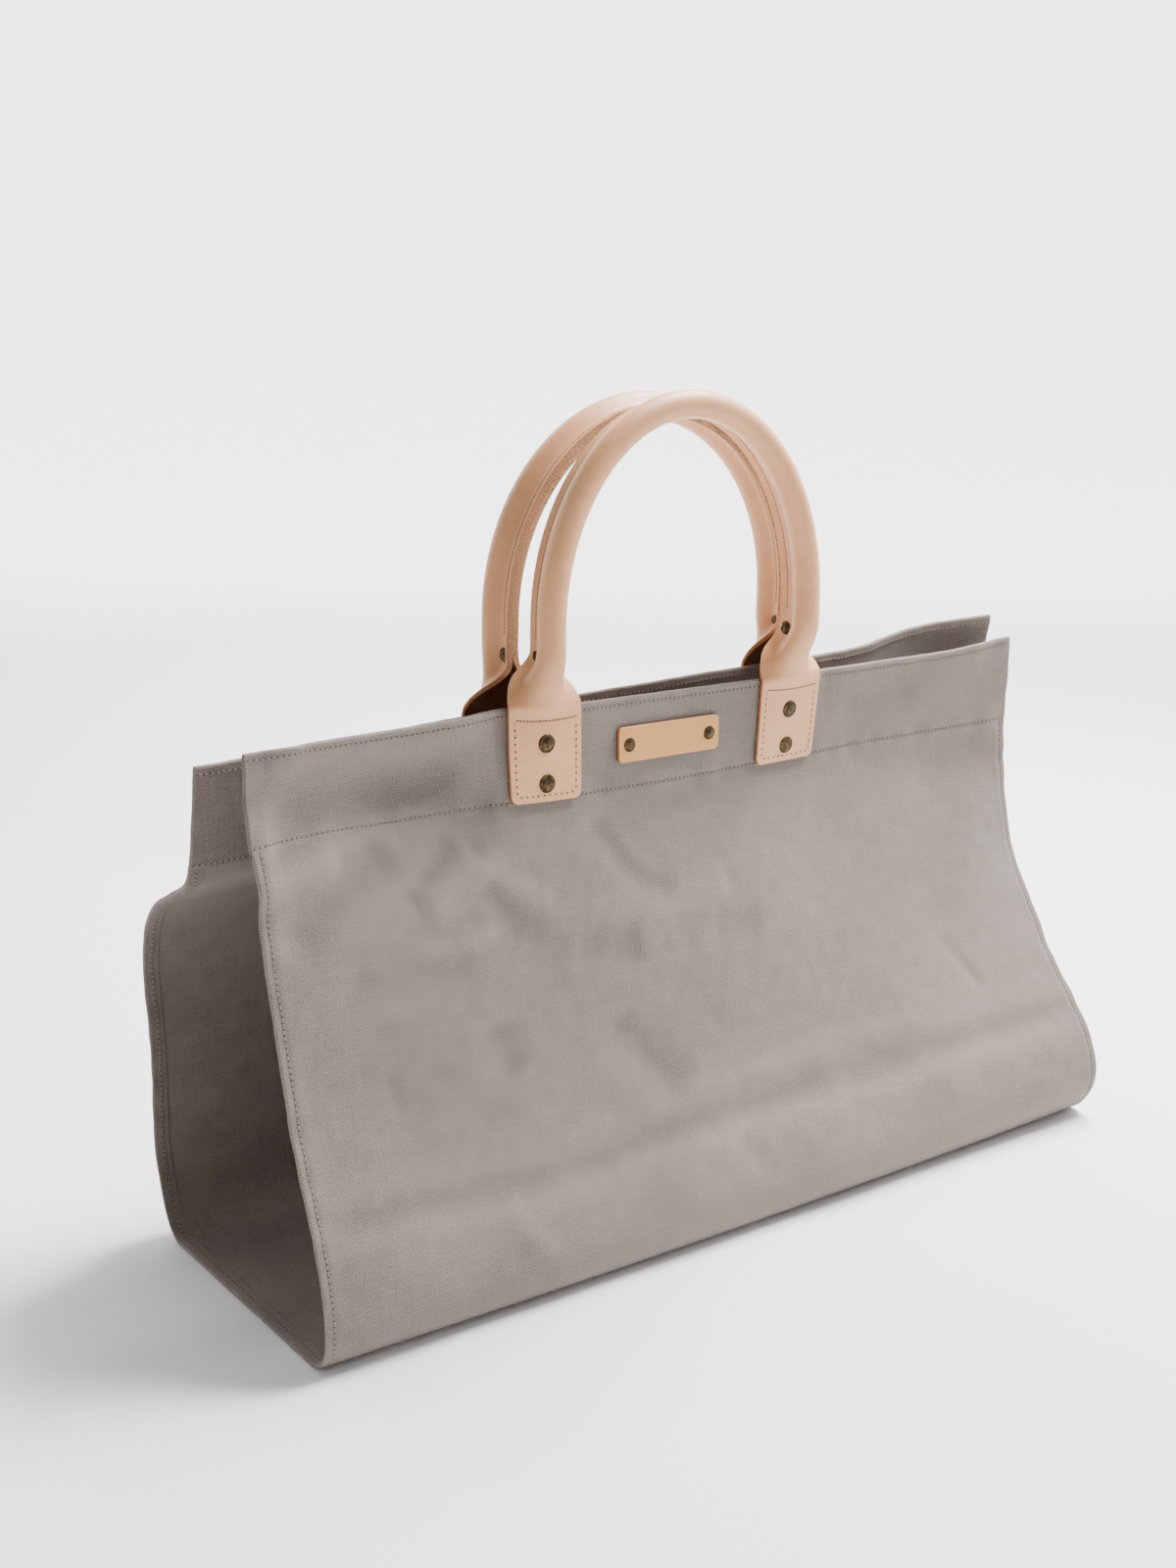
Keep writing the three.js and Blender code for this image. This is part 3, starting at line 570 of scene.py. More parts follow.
def fibre_material(name, light, dark, scale, spread):
    """Flesh side and cut edges of leather: loose fibres, no gloss."""
    material, tree, shader = new_material(name, 0.9, Specular_IOR_Level=0.2)
    place = object_place(tree)
    fibre = noise_node(tree, place, scale, 5.0, 0.7)
    cloud = noise_node(tree, place, 25.0, 3.0, 0.5)
    streak = ramp(tree, fibre, 0.5 - spread, 0.5 + spread, -0.6, 0.6)
    tone = add_up(tree, streak, ramp(tree, cloud, 0.3, 0.7, -0.15, 0.15))
    dress_shader(tree, shader, tone_colour(tree, tone, light, dark), fibre, 0.8, 0.0005)
    return material


def metal_material(name, light, dark):
    """Old brass: bright where it is rubbed, dull in its patina."""
    material, tree, shader = new_material(name, 0.42, Metallic=1.0)
    place = object_place(tree)
    patina = noise_node(tree, place, 350.0, 4.0, 0.65)
    fine = noise_node(tree, place, 2200.0, 2.0, 0.5)
    colour = shade(tree, ramp(tree, patina, 0.38, 0.66), light, dark)
    rough = ramp(tree, patina, 0.3, 0.7, 0.56, 0.38)
    dress_shader(tree, shader, colour, fine, 0.25, 0.0001, rough)
    return material


def thread_material(name, light, dark):
    """Twisted thread, and the painted shade of a needle hole."""
    material, tree, shader = new_material(name, 0.8, Specular_IOR_Level=0.3)
    twist = noise_node(tree, object_place(tree), 1800.0)
    colour = shade(tree, ramp(tree, twist, 0.35, 0.65), light, dark)
    dress_shader(tree, shader, colour, twist, 0.5, 0.0002)
    return material


CANVAS_LOOK = canvas_material("canvas_twill", (147, 136, 128), (94, 83, 75))
LEATHER_LOOK = leather_material("leather_grain", (222, 163, 115), (207, 146, 98), 0.5)
TAG_LOOK = leather_material("leather_tag_grain", (214, 152, 80), (200, 136, 66), 0.46)
FLESH_LOOK = fibre_material("leather_flesh", (118, 78, 54), (80, 50, 34), 900.0, 0.2)
EDGE_LOOK = fibre_material("leather_cut_edge", (220, 172, 132), (104, 68, 46), 1500.0, 0.12)
CUT_LOOK = fibre_material("leather_smooth_edge", (184, 128, 88), (142, 94, 62), 900.0, 0.2)
RIVET_LOOK = metal_material("antique_brass", (92, 78, 52), (46, 38, 27))
CANVAS_THREAD = thread_material("canvas_thread", (160, 148, 138), (122, 111, 102))
LEATHER_THREAD = thread_material("leather_thread", (128, 86, 58), (84, 54, 36))
SEAM_THREAD = thread_material("seam_thread", (178, 128, 90), (134, 92, 62))
# Painted shade: dark colours for the dots that stand in for the shade inside needle holes
NEEDLE_HOLE_SHADE = thread_material("needle_hole_shade", (50, 32, 22), (34, 22, 16))
CLOTH_HOLE_SHADE = thread_material("cloth_needle_hole_shade", (74, 66, 60), (54, 48, 43))


# The canvas


class Sling:
    """The canvas's outer face as a grid, from the front's top edge round to the back's."""

    def __init__(self):
        edge = np.concatenate([EDGE_LINES, np.arange(*INNER_LINES)])
        share = edge / (LENGTH / 2)
        self.from_edge = np.concatenate([edge, edge[::-1]])
        self.t = np.concatenate([share - 1, 1 - share[::-1]])
        band = graded(BAND_BREAKS, BAND_STEPS)
        sections = self.sections(self.t)
        knots = distances(sections)
        start, end = knots[3], knots[-4]
        breaks = [start + d for d in BODY_BREAKS[0]] + [end - d for d in BODY_BREAKS[1]]
        body = graded(breaks, BODY_STEPS)
        rows = curve(knots, sections, body)
        rows[..., 2] = np.maximum(rows[..., 2], 0)
        front = band_point(-1, self.t[None, :], band[:-1, None])
        back = band_point(1, self.t[None, :], band[-2::-1, None])
        bare = np.concatenate([front, rows, back])
        self.length = end - start + 2 * BAND
        self.s = np.concatenate([band[:-1], body - start + BAND, self.length - band[-2::-1]])
        on_front = (len(band) // 2, len(self.t) // 2)
        inside = (0, 1, 0)
        self.height = self.relief(bare)
        normals = turned(grid_normals(bare), on_front, inside)
        self.outer = bare - normals * self.height[..., None]
        self.inward = turned(grid_normals(self.outer), on_front, inside)

    @staticmethod
    def sections(t):
        depths = np.array([0.0, BAND / 3, 2 * BAND / 3])[:, None]
        front = band_point(-1, t[None, :], depths)
        back = band_point(1, t[None, :], depths)[::-1]
        floor = [np.stack([t * LENGTH / 2, 0 * t + y * HALF_DEPTH, 0 * t], -1) for y in FLOOR_ROWS]
        panels = panel_points(-1, t), panel_points(1, t)[::-1]
        return np.concatenate([front, panels[0], floor, panels[1], back])

    def relief(self, bare):
        """How far the cloth's folds, puckers and waves stand out of the plain shape."""
        x, z = bare[..., 0], bare[..., 2]
        s = np.broadcast_to(self.s[:, None], x.shape)
        edge = np.broadcast_to(self.from_edge[None, :], x.shape)
        from_back = self.length - s
        down = np.minimum(s, from_back)
        front = s < self.length / 2
        free = ease((z - 2) / 45)
        body = ease((s - BAND) / 25) * ease((from_back - BAND) / 25)
        below = ease((down - BAND) / 4)
        out = np.where(front, fold_height(x, s), 0.0) * free

        # The front band leans out beside the tabs, and more on the left
        lean = 5.0 - 9.0 * np.clip(s / BAND, 0, 1) + 4.0 * ease((s - BAND) / 50)
        left = ease((-115 - x) / 45) * ease((x + LENGTH / 2) / 30)
        right = ease((x - 125) / 45) * ease((300 - x) / 30)
        lean = lean * (left + 0.45 * right) * ease((BAND + 50 - s) / 6)
        out += np.where(front, lean, 0.0)

        # Waves of the panels, then of the bands
        out += 0.8 * body * free * waves(x, s, 120, 11)
        out += 0.14 * body * free * waves(x, s, 42, 12)
        out += 0.07 * (0.35 + body) * free * waves(x, s, 17, 13)
        out += 0.3 * waves(x, s, 60, 14) * (1 - body)

        # Puckers, and the lines where the stitches pull the cloth in
        out += 0.32 * waves(x, s * 0.2, 19, 15) * bell(down - SEAM_STITCH - 1, 7)
        out -= 0.4 * bell(down - SEAM_STITCH, 1.3)
        out += 0.16 * waves(x, s * 0.2, 13, 16) * bell(down - 2, 5)
        out -= 0.35 * bell(down - TOP_STITCH, 1.1)
        out += 0.3 * waves(x * 0.2, s, 22, 17) * bell(edge, 9) * free
        out -= 0.3 * bell(edge - HEM_STITCH, 1.0) * below
        out += 0.25 * bell(edge - 8.5, 3.0) * below * free
        leather = np.where(front, near_leather(-1, x, down), near_leather(1, x, down))
        return out * (1 - leather)


def rounding(distance, radius):
    """How far a face steps back near an edge, to round it."""
    near = np.clip(radius - distance, 0, radius)
    return radius - np.sqrt(np.maximum(radius**2 - near**2, 0))


def blurred(values, passes):
    for _ in range(passes):
        wide = np.pad(values, 1, mode="edge")
        around = wide[:-2, 1:-1] + wide[2:, 1:-1] + wide[1:-1, :-2] + wide[1:-1, 2:]
        values = (around + 4 * values) / 8
    return values


def build_canvas(sling):
    """One sheet: the facing inside the front, the fold, the whole outside, and the same again."""
    outer, inward = sling.outer, sling.inward
    rows = len(outer)
    turns = np.linspace(0, np.pi, 9)[1:-1]
    centre, reach = (OUTER_LAYER + INNER_LAYER) / 2, (INNER_LAYER - OUTER_LAYER) / 2

    def layer(order, depth):
        return [outer[r] + inward[r] * depth for r in order]

    def fold(r, after, angles):
        up = unit(outer[r] - outer[after])
        return [
            outer[r] + inward[r] * (centre + reach * np.cos(a)) + up * reach * np.sin(a)
            for a in angles
        ]

    lower = int(np.searchsorted(sling.s, FACING_END))
    facing = range(lower, -1, -1)
    back_facing = range(rows - 1, rows - 2 - lower, -1)
    middle = [*layer(facing, INNER_LAYER), *fold(0, 1, turns)]
    first = len(middle)
    middle += layer(range(rows), OUTER_LAYER)
    last = len(middle)
    middle += [*fold(rows - 1, rows - 2, turns[::-1]), *layer(back_facing, INNER_LAYER)]
    middle = np.array(middle)
    folds = [0] * len(turns), [rows - 1] * len(turns)
    order = np.array([*facing, *folds[0], *range(rows), *folds[1], *back_facing])
    normal = turned(grid_normals(middle), (first + 20, 0), inward[20, 0])

    edge = sling.from_edge[None, :]
    line = np.arange(len(middle))[:, None]
    in_body = (line >= first) & (line < last)
    down = np.minimum(sling.s, sling.length - sling.s)[order][:, None]
    hem = HEM_STEP * ease((SIDE_HEM + 0.4 - edge) / 0.8) * ease((down - BAND - 2) / 3) * in_body
    round_it = rounding(edge, 0.46 * (CLOTH + hem))
    ends = np.minimum(line, len(middle) - 1 - line)
    round_it = np.maximum(round_it, np.where(ends == 0, 0.35, 0.0))
    face = middle - normal * (CLOTH / 2 - round_it)[..., None]
    back = middle + normal * (CLOTH / 2 + hem - round_it)[..., None]

    along = distances(middle)
    u = (sling.t * LENGTH / 2)[None, :] + 0 * along[:, None]
    uv = np.stack([u * 0.001 + 0.4, along[:, None] * 0.001 + 0 * u], -1)
    # Painted highlight and shade: cloth above its blurred surroundings is painted lighter, and
    # cloth in the hollows darker. Side edges and top folds are lighter, as wear and as painted
    # highlight.
    crest = sling.height - blurred(sling.height, 14)
    front_fold = (line >= lower) & (line < first + 1)
    back_fold = (line >= last - 1) & (line <= last + len(turns))
    wear_light_and_shade = np.clip(crest[order] / 1.2, -0.5, 0.5)
    wear_light_and_shade = wear_light_and_shade + 0.28 * bell(edge, 1.2) + 0.3 * front_fold + 0.3 * back_fold
    verts, faces, _ = grid_solid(face, back)
    piece = add_mesh("canvas_sheet", verts, faces, [CANVAS_LOOK], sharp=60.0)
    add_cloth_values(piece.data, np.tile(uv.reshape(-1, 2), (2, 1)), np.tile(wear_light_and_shade.ravel(), 2))
    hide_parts("canvas_sling", "top_band_front", "top_band_back")


sling = Sling()
build_canvas(sling)


# Stitching


def threads(name, runs, look, pitch, size, shift):
    """Threads along runs of points and outward normals. size: length, radius and rise."""
    rng = np.random.default_rng(len(name))
    length, radius, rise = size
    rings, sides = 5, 6
    turn = np.arange(sides) * 2 * np.pi / sides
    share = np.linspace(0, 1, rings)
    fat = np.array([0.55, 0.95, 1.0, 0.95, 0.55])
    bow = np.sin(np.pi * share) * 1.6 - 0.8
    top = (rings - 1) * sides
    caps = [(2, 1, 0, 5), (5, 4, 3, 2)]
    caps += [(top, top + 1, top + 2, top + 5), (top + 2, top + 3, top + 4, top + 5)]
    block = np.array(tube_faces(rings, sides) + caps)
    made = []
    for path, normals in runs:
        along = distances(path)
        total = along[-1]
        count = int(total // pitch)
        middle = (np.arange(count) + 0.5 - shift) * total / count
        middle = middle + rng.uniform(-0.04, 0.04, count) * pitch
        at = np.clip(middle[:, None] + (share[None, :] - 0.5) * length, 0, total)
        points, out = (
            np.stack([np.interp(at, along, values[:, k]) for k in range(3)], -1)
            for values in (path, normals)
        )
        out = unit(out)
        points = points + out * (rise + radius * bow)[None, :, None]
        forward = unit(points[:, -1] - points[:, 0])[:, None, :]
        across = unit(np.cross(out, forward))[:, :, None, :]
        ring = np.cos(turn)[:, None] * across + np.sin(turn)[:, None] * out[:, :, None, :] * 0.8
        verts = points[:, :, None, :] + ring * (radius * fat)[None, :, None, None]
        made.append(verts.reshape(count, rings * sides, 3))
    verts = np.concatenate(made)
    faces = block[None] + (np.arange(len(verts)) * rings * sides)[:, None, None]
    piece = add_mesh(name, verts.reshape(-1, 3), faces.reshape(-1, 4), [look], sharp=80.0)


def sew(name, runs, looks, pitch, thread, hole_shade_size):
    """Threads along runs, and dark dots of painted shade at the needle holes between them, which
    are sunk, fat, short threads.
    """
    dot = (hole_shade_size * 3.7, hole_shade_size, 0.3 - 1.49 * hole_shade_size)
    threads(name.format("stitching"), runs, looks[0], pitch, thread, 0.0)
    # Painted shade: sunk dark dots where the thread goes into the cloth or leather
    threads(name.format("holes"), runs, looks[1], pitch, dot, 0.5)


def sample_grid(grid, rows, columns):
    """Points between a grid's points, at fractional rows and columns."""
    r = np.clip(rows, 0, len(grid) - 1.001)
    c = np.clip(columns, 0, grid.shape[1] - 1.001)
    i, j = r.astype(int), c.astype(int)
    a, b = (r - i)[:, None], (c - j)[:, None]
    low = grid[i, j] * (1 - b) + grid[i, j + 1] * b
    high = grid[i + 1, j] * (1 - b) + grid[i + 1, j + 1] * b
    return low * (1 - a) + high * a


def cloth_lines(rows, columns, depth):
    """A path over the cloth's outside and one over its inside, with the normals out of it."""
    rows, columns = np.broadcast_arrays(np.asarray(rows, float), np.asarray(columns, float))
    inward = unit(sample_grid(sling.inward, rows, columns))
    path = sample_grid(sling.outer, rows, columns)
    return [(path, -inward), (path + inward * depth, inward)]


def row_of(depth, from_back=False):
    s = sling.length - depth if from_back else depth
    return float(np.interp(s, sling.s, np.arange(len(sling.s))))


def column_of(distance, right=False):
    share = distance / (LENGTH / 2)
    return float(np.interp(1 - share if right else share - 1, sling.t, np.arange(len(sling.t))))


def canvas_stitching():
    looks, thread = (CANVAS_THREAD, CLOTH_HOLE_SHADE), (2.8, 0.4, 0.0)
    across = np.linspace(column_of(2.0), column_of(2.0, True), 400)
    runs = []
    for from_back in (False, True):
        for depth in (TOP_STITCH, SEAM_STITCH):
            runs += cloth_lines(row_of(depth, from_back), across, INNER_LAYER + CLOTH / 2)
    sew("canvas_band_{}", runs, looks, CLOTH_PITCH, thread, 0.62)
    down = np.linspace(row_of(BAND + 2), row_of(BAND + 2, True), 700)
    runs = []
    for right in (False, True):
        column = column_of(HEM_STITCH, right)
        runs += cloth_lines(down, column, OUTER_LAYER + CLOTH / 2 + HEM_STEP)
    sew("canvas_hem_{}", runs, looks, CLOTH_PITCH, thread, 0.5)


canvas_stitching()


# The handles

ROLL_RADIUS = (TUBE - LEATHER) / 2
HALF_GAP = (LEATHER + GAP) / 2
ARC = ROLL_RADIUS * ROLL_ANGLE
NECK = (ROLL_RADIUS * math.sin(ROLL_ANGLE) - HALF_GAP) / -math.cos(ROLL_ANGLE)
ROLLED_HALF_WIDTH = ARC + NECK + FIN
TUBE_DEPTH = ROLL_RADIUS * (1 - math.cos(ROLL_ANGLE)) + NECK * math.sin(ROLL_ANGLE)
HALF_SECTION = np.concatenate([np.linspace(0, 0.94, 27), [0.96, 0.975, 0.987, 1.0]])
CROWN_Q = SHOULDER_SPAN + LEG_SPAN + ARCH_SPAN
TAB_UPS = np.concatenate([[0, 0.3, 0.8, 1.4, 2.2, 3.4, 5.0, 7.0], np.linspace(9.5, BAND, 19)])
STRAP_Q = graded([0.25, SHOULDER_SPAN, SHOULDER_SPAN + LEG_SPAN, CROWN_Q], [0.2, 0.25, 0.19])


def section_angles(share):
    """The rolled section's direction at shares of half the strap, from its middle to its edge."""
    d = share * ROLLED_HALF_WIDTH
    angle = ROLL_ANGLE * np.clip(d / ARC, 0, 1)
    return mix(angle, math.pi / 2, ease((d - (ARC + NECK - 1.6)) / 3.2))


def roll_section(roll, half_width=None):
    """Across and inward of the full section's points, edge to edge."""
    if half_width is None:
        half_width = mix(TAB_WIDTH / 2, ROLLED_HALF_WIDTH, float(ease((roll - 0.3) / 0.7)))
    fine = np.linspace(0, 1, 241)
    angles = section_angles(fine)
    step = half_width / 240
    middle = (angles[1:] + angles[:-1]) / 2 * roll
    across = np.concatenate([[0], np.cumsum(np.cos(middle)) * step])
    inward = np.concatenate([[0], np.cumsum(np.sin(middle)) * step])
    half = np.stack([np.interp(HALF_SECTION, fine, way) for way in (across, inward)], -1)
    spare = (half[-1, 0] - (LEATHER + LAYER_GAP) / 2) * roll**6
    half[:, 0] -= spare * ease((HALF_SECTION - 0.45) / 0.3)
    mirrored = half[:0:-1] * np.array([-1.0, 1.0])
    return np.concatenate([mirrored, half])


def roll_at(height):
    return float(np.clip(curve(ROLL_HEIGHTS, ROLL_SHARES, height), 0.0, 1.0))


def spine_point(handle, end, q):
    """A leg's middle line and its roll. q runs from 0 at the band's edge to CROWN_Q."""
    side, leg_x = handle["side"], tab_x(handle, end)
    point, inward = band_seat(side, leg_x, 0.0)
    start = point - inward * (TAB_SEAT + LEATHER / 2 + roll_section(roll_at(0.0))[0, 1])
    shoulder_top, arch_start = TOP + SHOULDER, TOP + LEG
    leg_y = side * (TUBE_DEPTH + FIN + handle["gap"] * TUBE)
    if q < SHOULDER_SPAN:
        share = q / SHOULDER_SPAN
        z = mix(start[2], shoulder_top, share)
        y = mix(start[1], leg_y, float(ease(share)))
        return np.array([leg_x, y, z]), roll_at(z - start[2])
    if q < SHOULDER_SPAN + LEG_SPAN:
        z = mix(shoulder_top, arch_start, (q - SHOULDER_SPAN) / LEG_SPAN)
        return np.array([leg_x, leg_y, z]), 1.0
    angle = math.pi / 2 * (q - SHOULDER_SPAN - LEG_SPAN) / ARCH_SPAN
    crown_z = TOP + HANDLE_RISE * (1 - handle["drop"]) - TUBE / 2
    x = mix(HANDLE_SPACING * handle["shift"], leg_x, math.cos(angle))
    return np.array([x, leg_y, mix(arch_start, crown_z, math.sin(angle))]), 1.0


def strap_station(handle, q):
    """The section's frame at q, where q goes on past the crown and down the right leg."""

    def at(value):
        value = min(max(value, 0.0), 2 * CROWN_Q)
        if value <= CROWN_Q:
            return spine_point(handle, -1, value)
        return spine_point(handle, 1, 2 * CROWN_Q - value)

    point, roll = at(q)
    tangent = at(q + 0.05)[0] - at(q - 0.05)[0]
    tangent[1] = 0
    tangent = tangent / np.linalg.norm(tangent)
    share = float(ease((q - 1) / (2 * CROWN_Q - 2)))
    twist = math.radians(mix(handle["twist_left"], handle["twist_right"], share)) * roll
    side = handle["side"]
    inward = np.array([0.0, -side, 0.0])
    across = -np.cross(np.array([0.0, 1.0, 0.0]), tangent)
    turn = np.array(Matrix.Rotation(twist * side, 3, tangent.tolist()))
    centre = inward * ROLL_RADIUS
    swing = centre - turn @ centre
    return point + swing, roll, turn @ inward, turn @ across


def strap_row(handle, q):
    point, roll, inward, across = strap_station(handle, q)
    section = roll_section(roll)
    return point + section[:, :1] * across + section[:, 1:] * inward


def tab_row(handle, end, up):
    inside = max(TAB_CORNER - up, 0.0)
    narrower = TAB_CORNER - math.sqrt(max(TAB_CORNER**2 - inside**2, 0.0))
    section = roll_section(roll_at(up - BAND), TAB_WIDTH / 2 - narrower)
    x = tab_x(handle, end) + end * section[:, 0]
    point, inward = band_seat(handle["side"], x, BAND - up)
    return point - inward * (TAB_SEAT + LEATHER / 2 + section[:1, 1:] - section[:, 1:])


def build_strap(name, handle):
    """One strap from tab to tab. Its middle grid, normals, count of tab rows and stations."""
    left = [tab_row(handle, -1, up) for up in TAB_UPS]
    right = [tab_row(handle, 1, up) for up in TAB_UPS[::-1]]
    qs = np.concatenate([STRAP_Q, 2 * CROWN_Q - STRAP_Q[-2::-1]])
    grid = np.array([*left, *(strap_row(handle, q) for q in qs), *right])
    crown = (len(left) + len(qs) // 2, grid.shape[1] // 2)
    normal = turned(grid_normals(grid), crown, (0, handle["side"], 0))
    bevel = 0.45
    flat = np.zeros(len(TAB_UPS))
    rolled = np.concatenate([flat, [strap_station(handle, q)[1] for q in qs], flat]) ** 3
    from_edge = (1 - np.concatenate([HALF_SECTION[:0:-1], HALF_SECTION])) * ROLLED_HALF_WIDTH
    lip = LIP * rolled[:, None] * ease(1 - from_edge / 4.6)[None, :]
    inside = np.full(grid.shape[:2], LEATHER / 2)
    outside = inside + lip
    outside[:, [0, -1]] -= bevel
    inside[:, [0, -1]] -= bevel * (1 - rolled[:, None])
    outside[[0, -1], :] = LEATHER / 2 - bevel
    inside[[0, -1], :] = LEATHER / 2 - bevel
    grain = grid + normal * outside[..., None]
    flesh = grid - normal * inside[..., None]
    verts, faces, region = grid_solid(grain, flesh)
    row = faces.min(1) % grid[..., 0].size // grid.shape[1]
    region[(region == 2) & (rolled[row] > 0.5)] = 3
    looks = [LEATHER_LOOK, FLESH_LOOK, CUT_LOOK, EDGE_LOOK]
    piece = add_mesh(f"strap_{name}", verts, faces, looks, region)
    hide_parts(f"handle_{name}")
    return grid, normal, len(left), qs


def seam_stitching(name, grid, normal, tab_rows, qs):
    """Both faces of the fin, from shoulder to shoulder."""
    reach = SHOULDER_SPAN + 0.75
    first, last = (tab_rows + int(np.searchsorted(qs, q)) for q in (reach, 2 * CROWN_Q - reach))
    share = 1 - SEAM_INSET / ROLLED_HALF_WIDTH
    half = np.interp(share, HALF_SECTION, np.arange(len(HALF_SECTION)))
    middle = len(HALF_SECTION) - 1
    runs = []
    for column in (middle - half, middle + half):
        places = np.broadcast_arrays(np.arange(first, last, 0.5), column)
        out = unit(sample_grid(normal, *places))
        runs.append((sample_grid(grid, *places) + out * (LEATHER / 2), out))
    looks = (SEAM_THREAD, NEEDLE_HOLE_SHADE)
    sew(f"seam_{{}}_{name}", runs, looks, LEATHER_PITCH, (3.0, 0.4, -0.1), 0.48)


def tab_stitching(name, handle):
    """A line round each tab's foot, and one across its top."""
    half, low = TAB_WIDTH / 2 - TAB_STITCH_INSET, TAB_STITCH_INSET + TAB_STITCH_CORNER
    flat = half - TAB_STITCH_CORNER
    high = BAND - 8.5
    bend = [(flat + TAB_STITCH_CORNER * math.cos(a), low - TAB_STITCH_CORNER * math.sin(a))
            for a in np.linspace(0.2, 1.4, 5)]
    foot = [(-half, high), *((-half, up) for up in np.linspace(BAND - 9, low, 24))]
    foot += [(-v, up) for v, up in bend]
    foot += [(v, TAB_STITCH_INSET) for v in np.linspace(-flat, flat, 24)]
    foot += [*bend[::-1], *((half, up) for up in np.linspace(low, high, 24))]
    top = [(v, BAND - 8 + 1.2 * (v / half) ** 2) for v in np.linspace(half, -half, 30)]
    rows = (
        ("tab", foot, LEATHER_LOOK, (3.0, 0.36, -0.22)),
        ("tab_top", top, LEATHER_THREAD, (3.4, 0.34, -0.05)),
    )
    for part, line, look, thread in rows:
        across, up = np.array(line).T
        runs = []
        for end, _ in ENDS:
            point, inward = band_seat(handle["side"], tab_x(handle, end) + across, BAND - up)
            runs.append((point - inward * (TAB_SEAT + LEATHER), -inward))
        looks = (look, NEEDLE_HOLE_SHADE)
        sew(f"{part}_{{}}_{name}", runs, looks, LEATHER_PITCH, thread, 0.88)


# Plates and rivets


def plate_on_band(name, side, x, depth, size, corner, layer, looks, bevel):
    """A plate with rounded corners that follows a band. layer: how deep it lies, and thickness."""
    (width, height), (near, thick) = size, layer
    flat = width / 2 - corner
    half = np.concatenate([
        np.linspace(0, flat, max(3, int(flat / 3)))[:-1],
        np.sin(np.linspace(0, np.pi / 2, 9)) * corner + width / 2 - corner,
    ])
    half = np.unique(half)
    columns = np.concatenate([-half[:0:-1], half])
    into = np.maximum(np.abs(columns) - flat, 0)
    tall = height / 2 - corner + np.sqrt(np.maximum(corner**2 - into**2, 0))
    edge_level = 1 - 0.9 * bevel / (height / 2)
    levels = np.unique(np.concatenate([np.linspace(-1, 1, 15), [-edge_level, edge_level]]))
    xs = x + columns[None, :] + 0 * levels[:, None]
    point, inward = band_seat(side, xs, depth - levels[:, None] * tall[None, :])
    step_back = np.zeros(point.shape[:2])
    step_back[[0, -1], :] = bevel
    step_back[:, [0, -1]] = bevel
    outside = point + inward * (near + step_back)[..., None]
    inside = point + inward * (near + thick - step_back)[..., None]
    verts, faces, region = grid_solid(outside, inside)
    return add_mesh(name, verts, faces, looks, region)


def lathe(profile, point, direction, sides=36):
    """Vertices and faces of a turned shape. The profile is (radius, height along the direction)."""
    direction = unit(np.asarray(direction, float))
    helper = np.array([0.0, 0.0, 1.0] if abs(direction[2]) < 0.9 else [1.0, 0.0, 0.0])
    a = unit(np.cross(direction, helper))
    b = np.cross(direction, a)
    turn = np.arange(sides) * 2 * np.pi / sides
    ring = np.cos(turn)[:, None] * a + np.sin(turn)[:, None] * b
    verts = np.concatenate([point + r * ring + h * direction for r, h in profile])
    return verts, tube_faces(len(profile), sides)


# A cap of TAB_RIVET's size, from its middle to near its edge: radius and height
CAP_DOME = [(1.3, 1.45), (2.5, 1.28), (3.5, 1.06), (4.1, 0.86), (4.4, 0.78), (4.62, 0.86)]
CAP_DOME += [(4.95, 0.98), (5.25, 0.92)]


def rivet(name, cap, inward, diameter, stack):
    """A domed cap with a plain raised ring, its shank, and the washer and peened end behind."""
    r, shank = diameter / 2, SHANK / 2
    k = diameter / TAB_RIVET
    far = -(stack + GAP)
    dome = [(radius * k, height * k) for radius, height in CAP_DOME]
    cap_edge = [(r - 0.25, 0.6 * k), (r - 0.06, 0.28 * k), (r, 0.02), (r - 0.15, -0.1)]
    shaft = [(shank, -0.12), (shank, far)]
    washer = [(0.84 * r, far), (0.86 * r, far - 0.25), (0.84 * r, far - 0.55)]
    washer += [(0.5 * r, far - 0.68), (shank + 0.35, far - 0.7)]
    peened = [(shank + 0.2, far - 1.05), (shank - 0.5, far - 1.3)]
    profile = [(0.05, 1.5 * k), *dome, *cap_edge, *shaft, *washer, *peened, (0.05, far - 1.36)]
    verts, faces = lathe(profile, cap, -inward)
    piece = add_mesh(name + "_set", verts, faces, [RIVET_LOOK], sharp=70.0)
    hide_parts(name)


def band_rivet(name, side, x, depth, diameter, stack):
    point, inward = band_seat(side, x, depth)
    rivet(name, point - inward * (TAB_SEAT + LEATHER - 0.12), inward, diameter, stack)


def seam_rivet(name, handle, end):
    q = SHOULDER_SPAN if end < 0 else 2 * CROWN_Q - SHOULDER_SPAN
    point, _, inward, across = strap_station(handle, q)
    left = across * (1 if across[0] < 0 else -1)
    point[2] = TOP + SEAM_RIVET_RISE
    out = left * (HALF_GAP + LEATHER / 2 - 0.1)
    cap = point + inward * (TUBE_DEPTH + FIN - SEAM_RIVET_INSET) + out
    rivet(name, cap, -left, SMALL_RIVET, 2 * LEATHER + GAP)


STACK_TAG = TAB_SEAT + LEATHER + CANVAS + FACING + GAP
STACK_TAB = STACK_TAG + BACKING + LEATHER_GAP
BACKING_SIZE = (BACKING_WIDTH, BAND - 2 * BACKING_DROP)
BACKING_LAYER = (CANVAS + GAP + FACING + LEATHER_GAP - 0.35, BACKING)
BACKING_CORNER = 0.48 * min(BACKING_SIZE)
BACKING_LOOKS = [FLESH_LOOK, LEATHER_LOOK, CUT_LOOK]

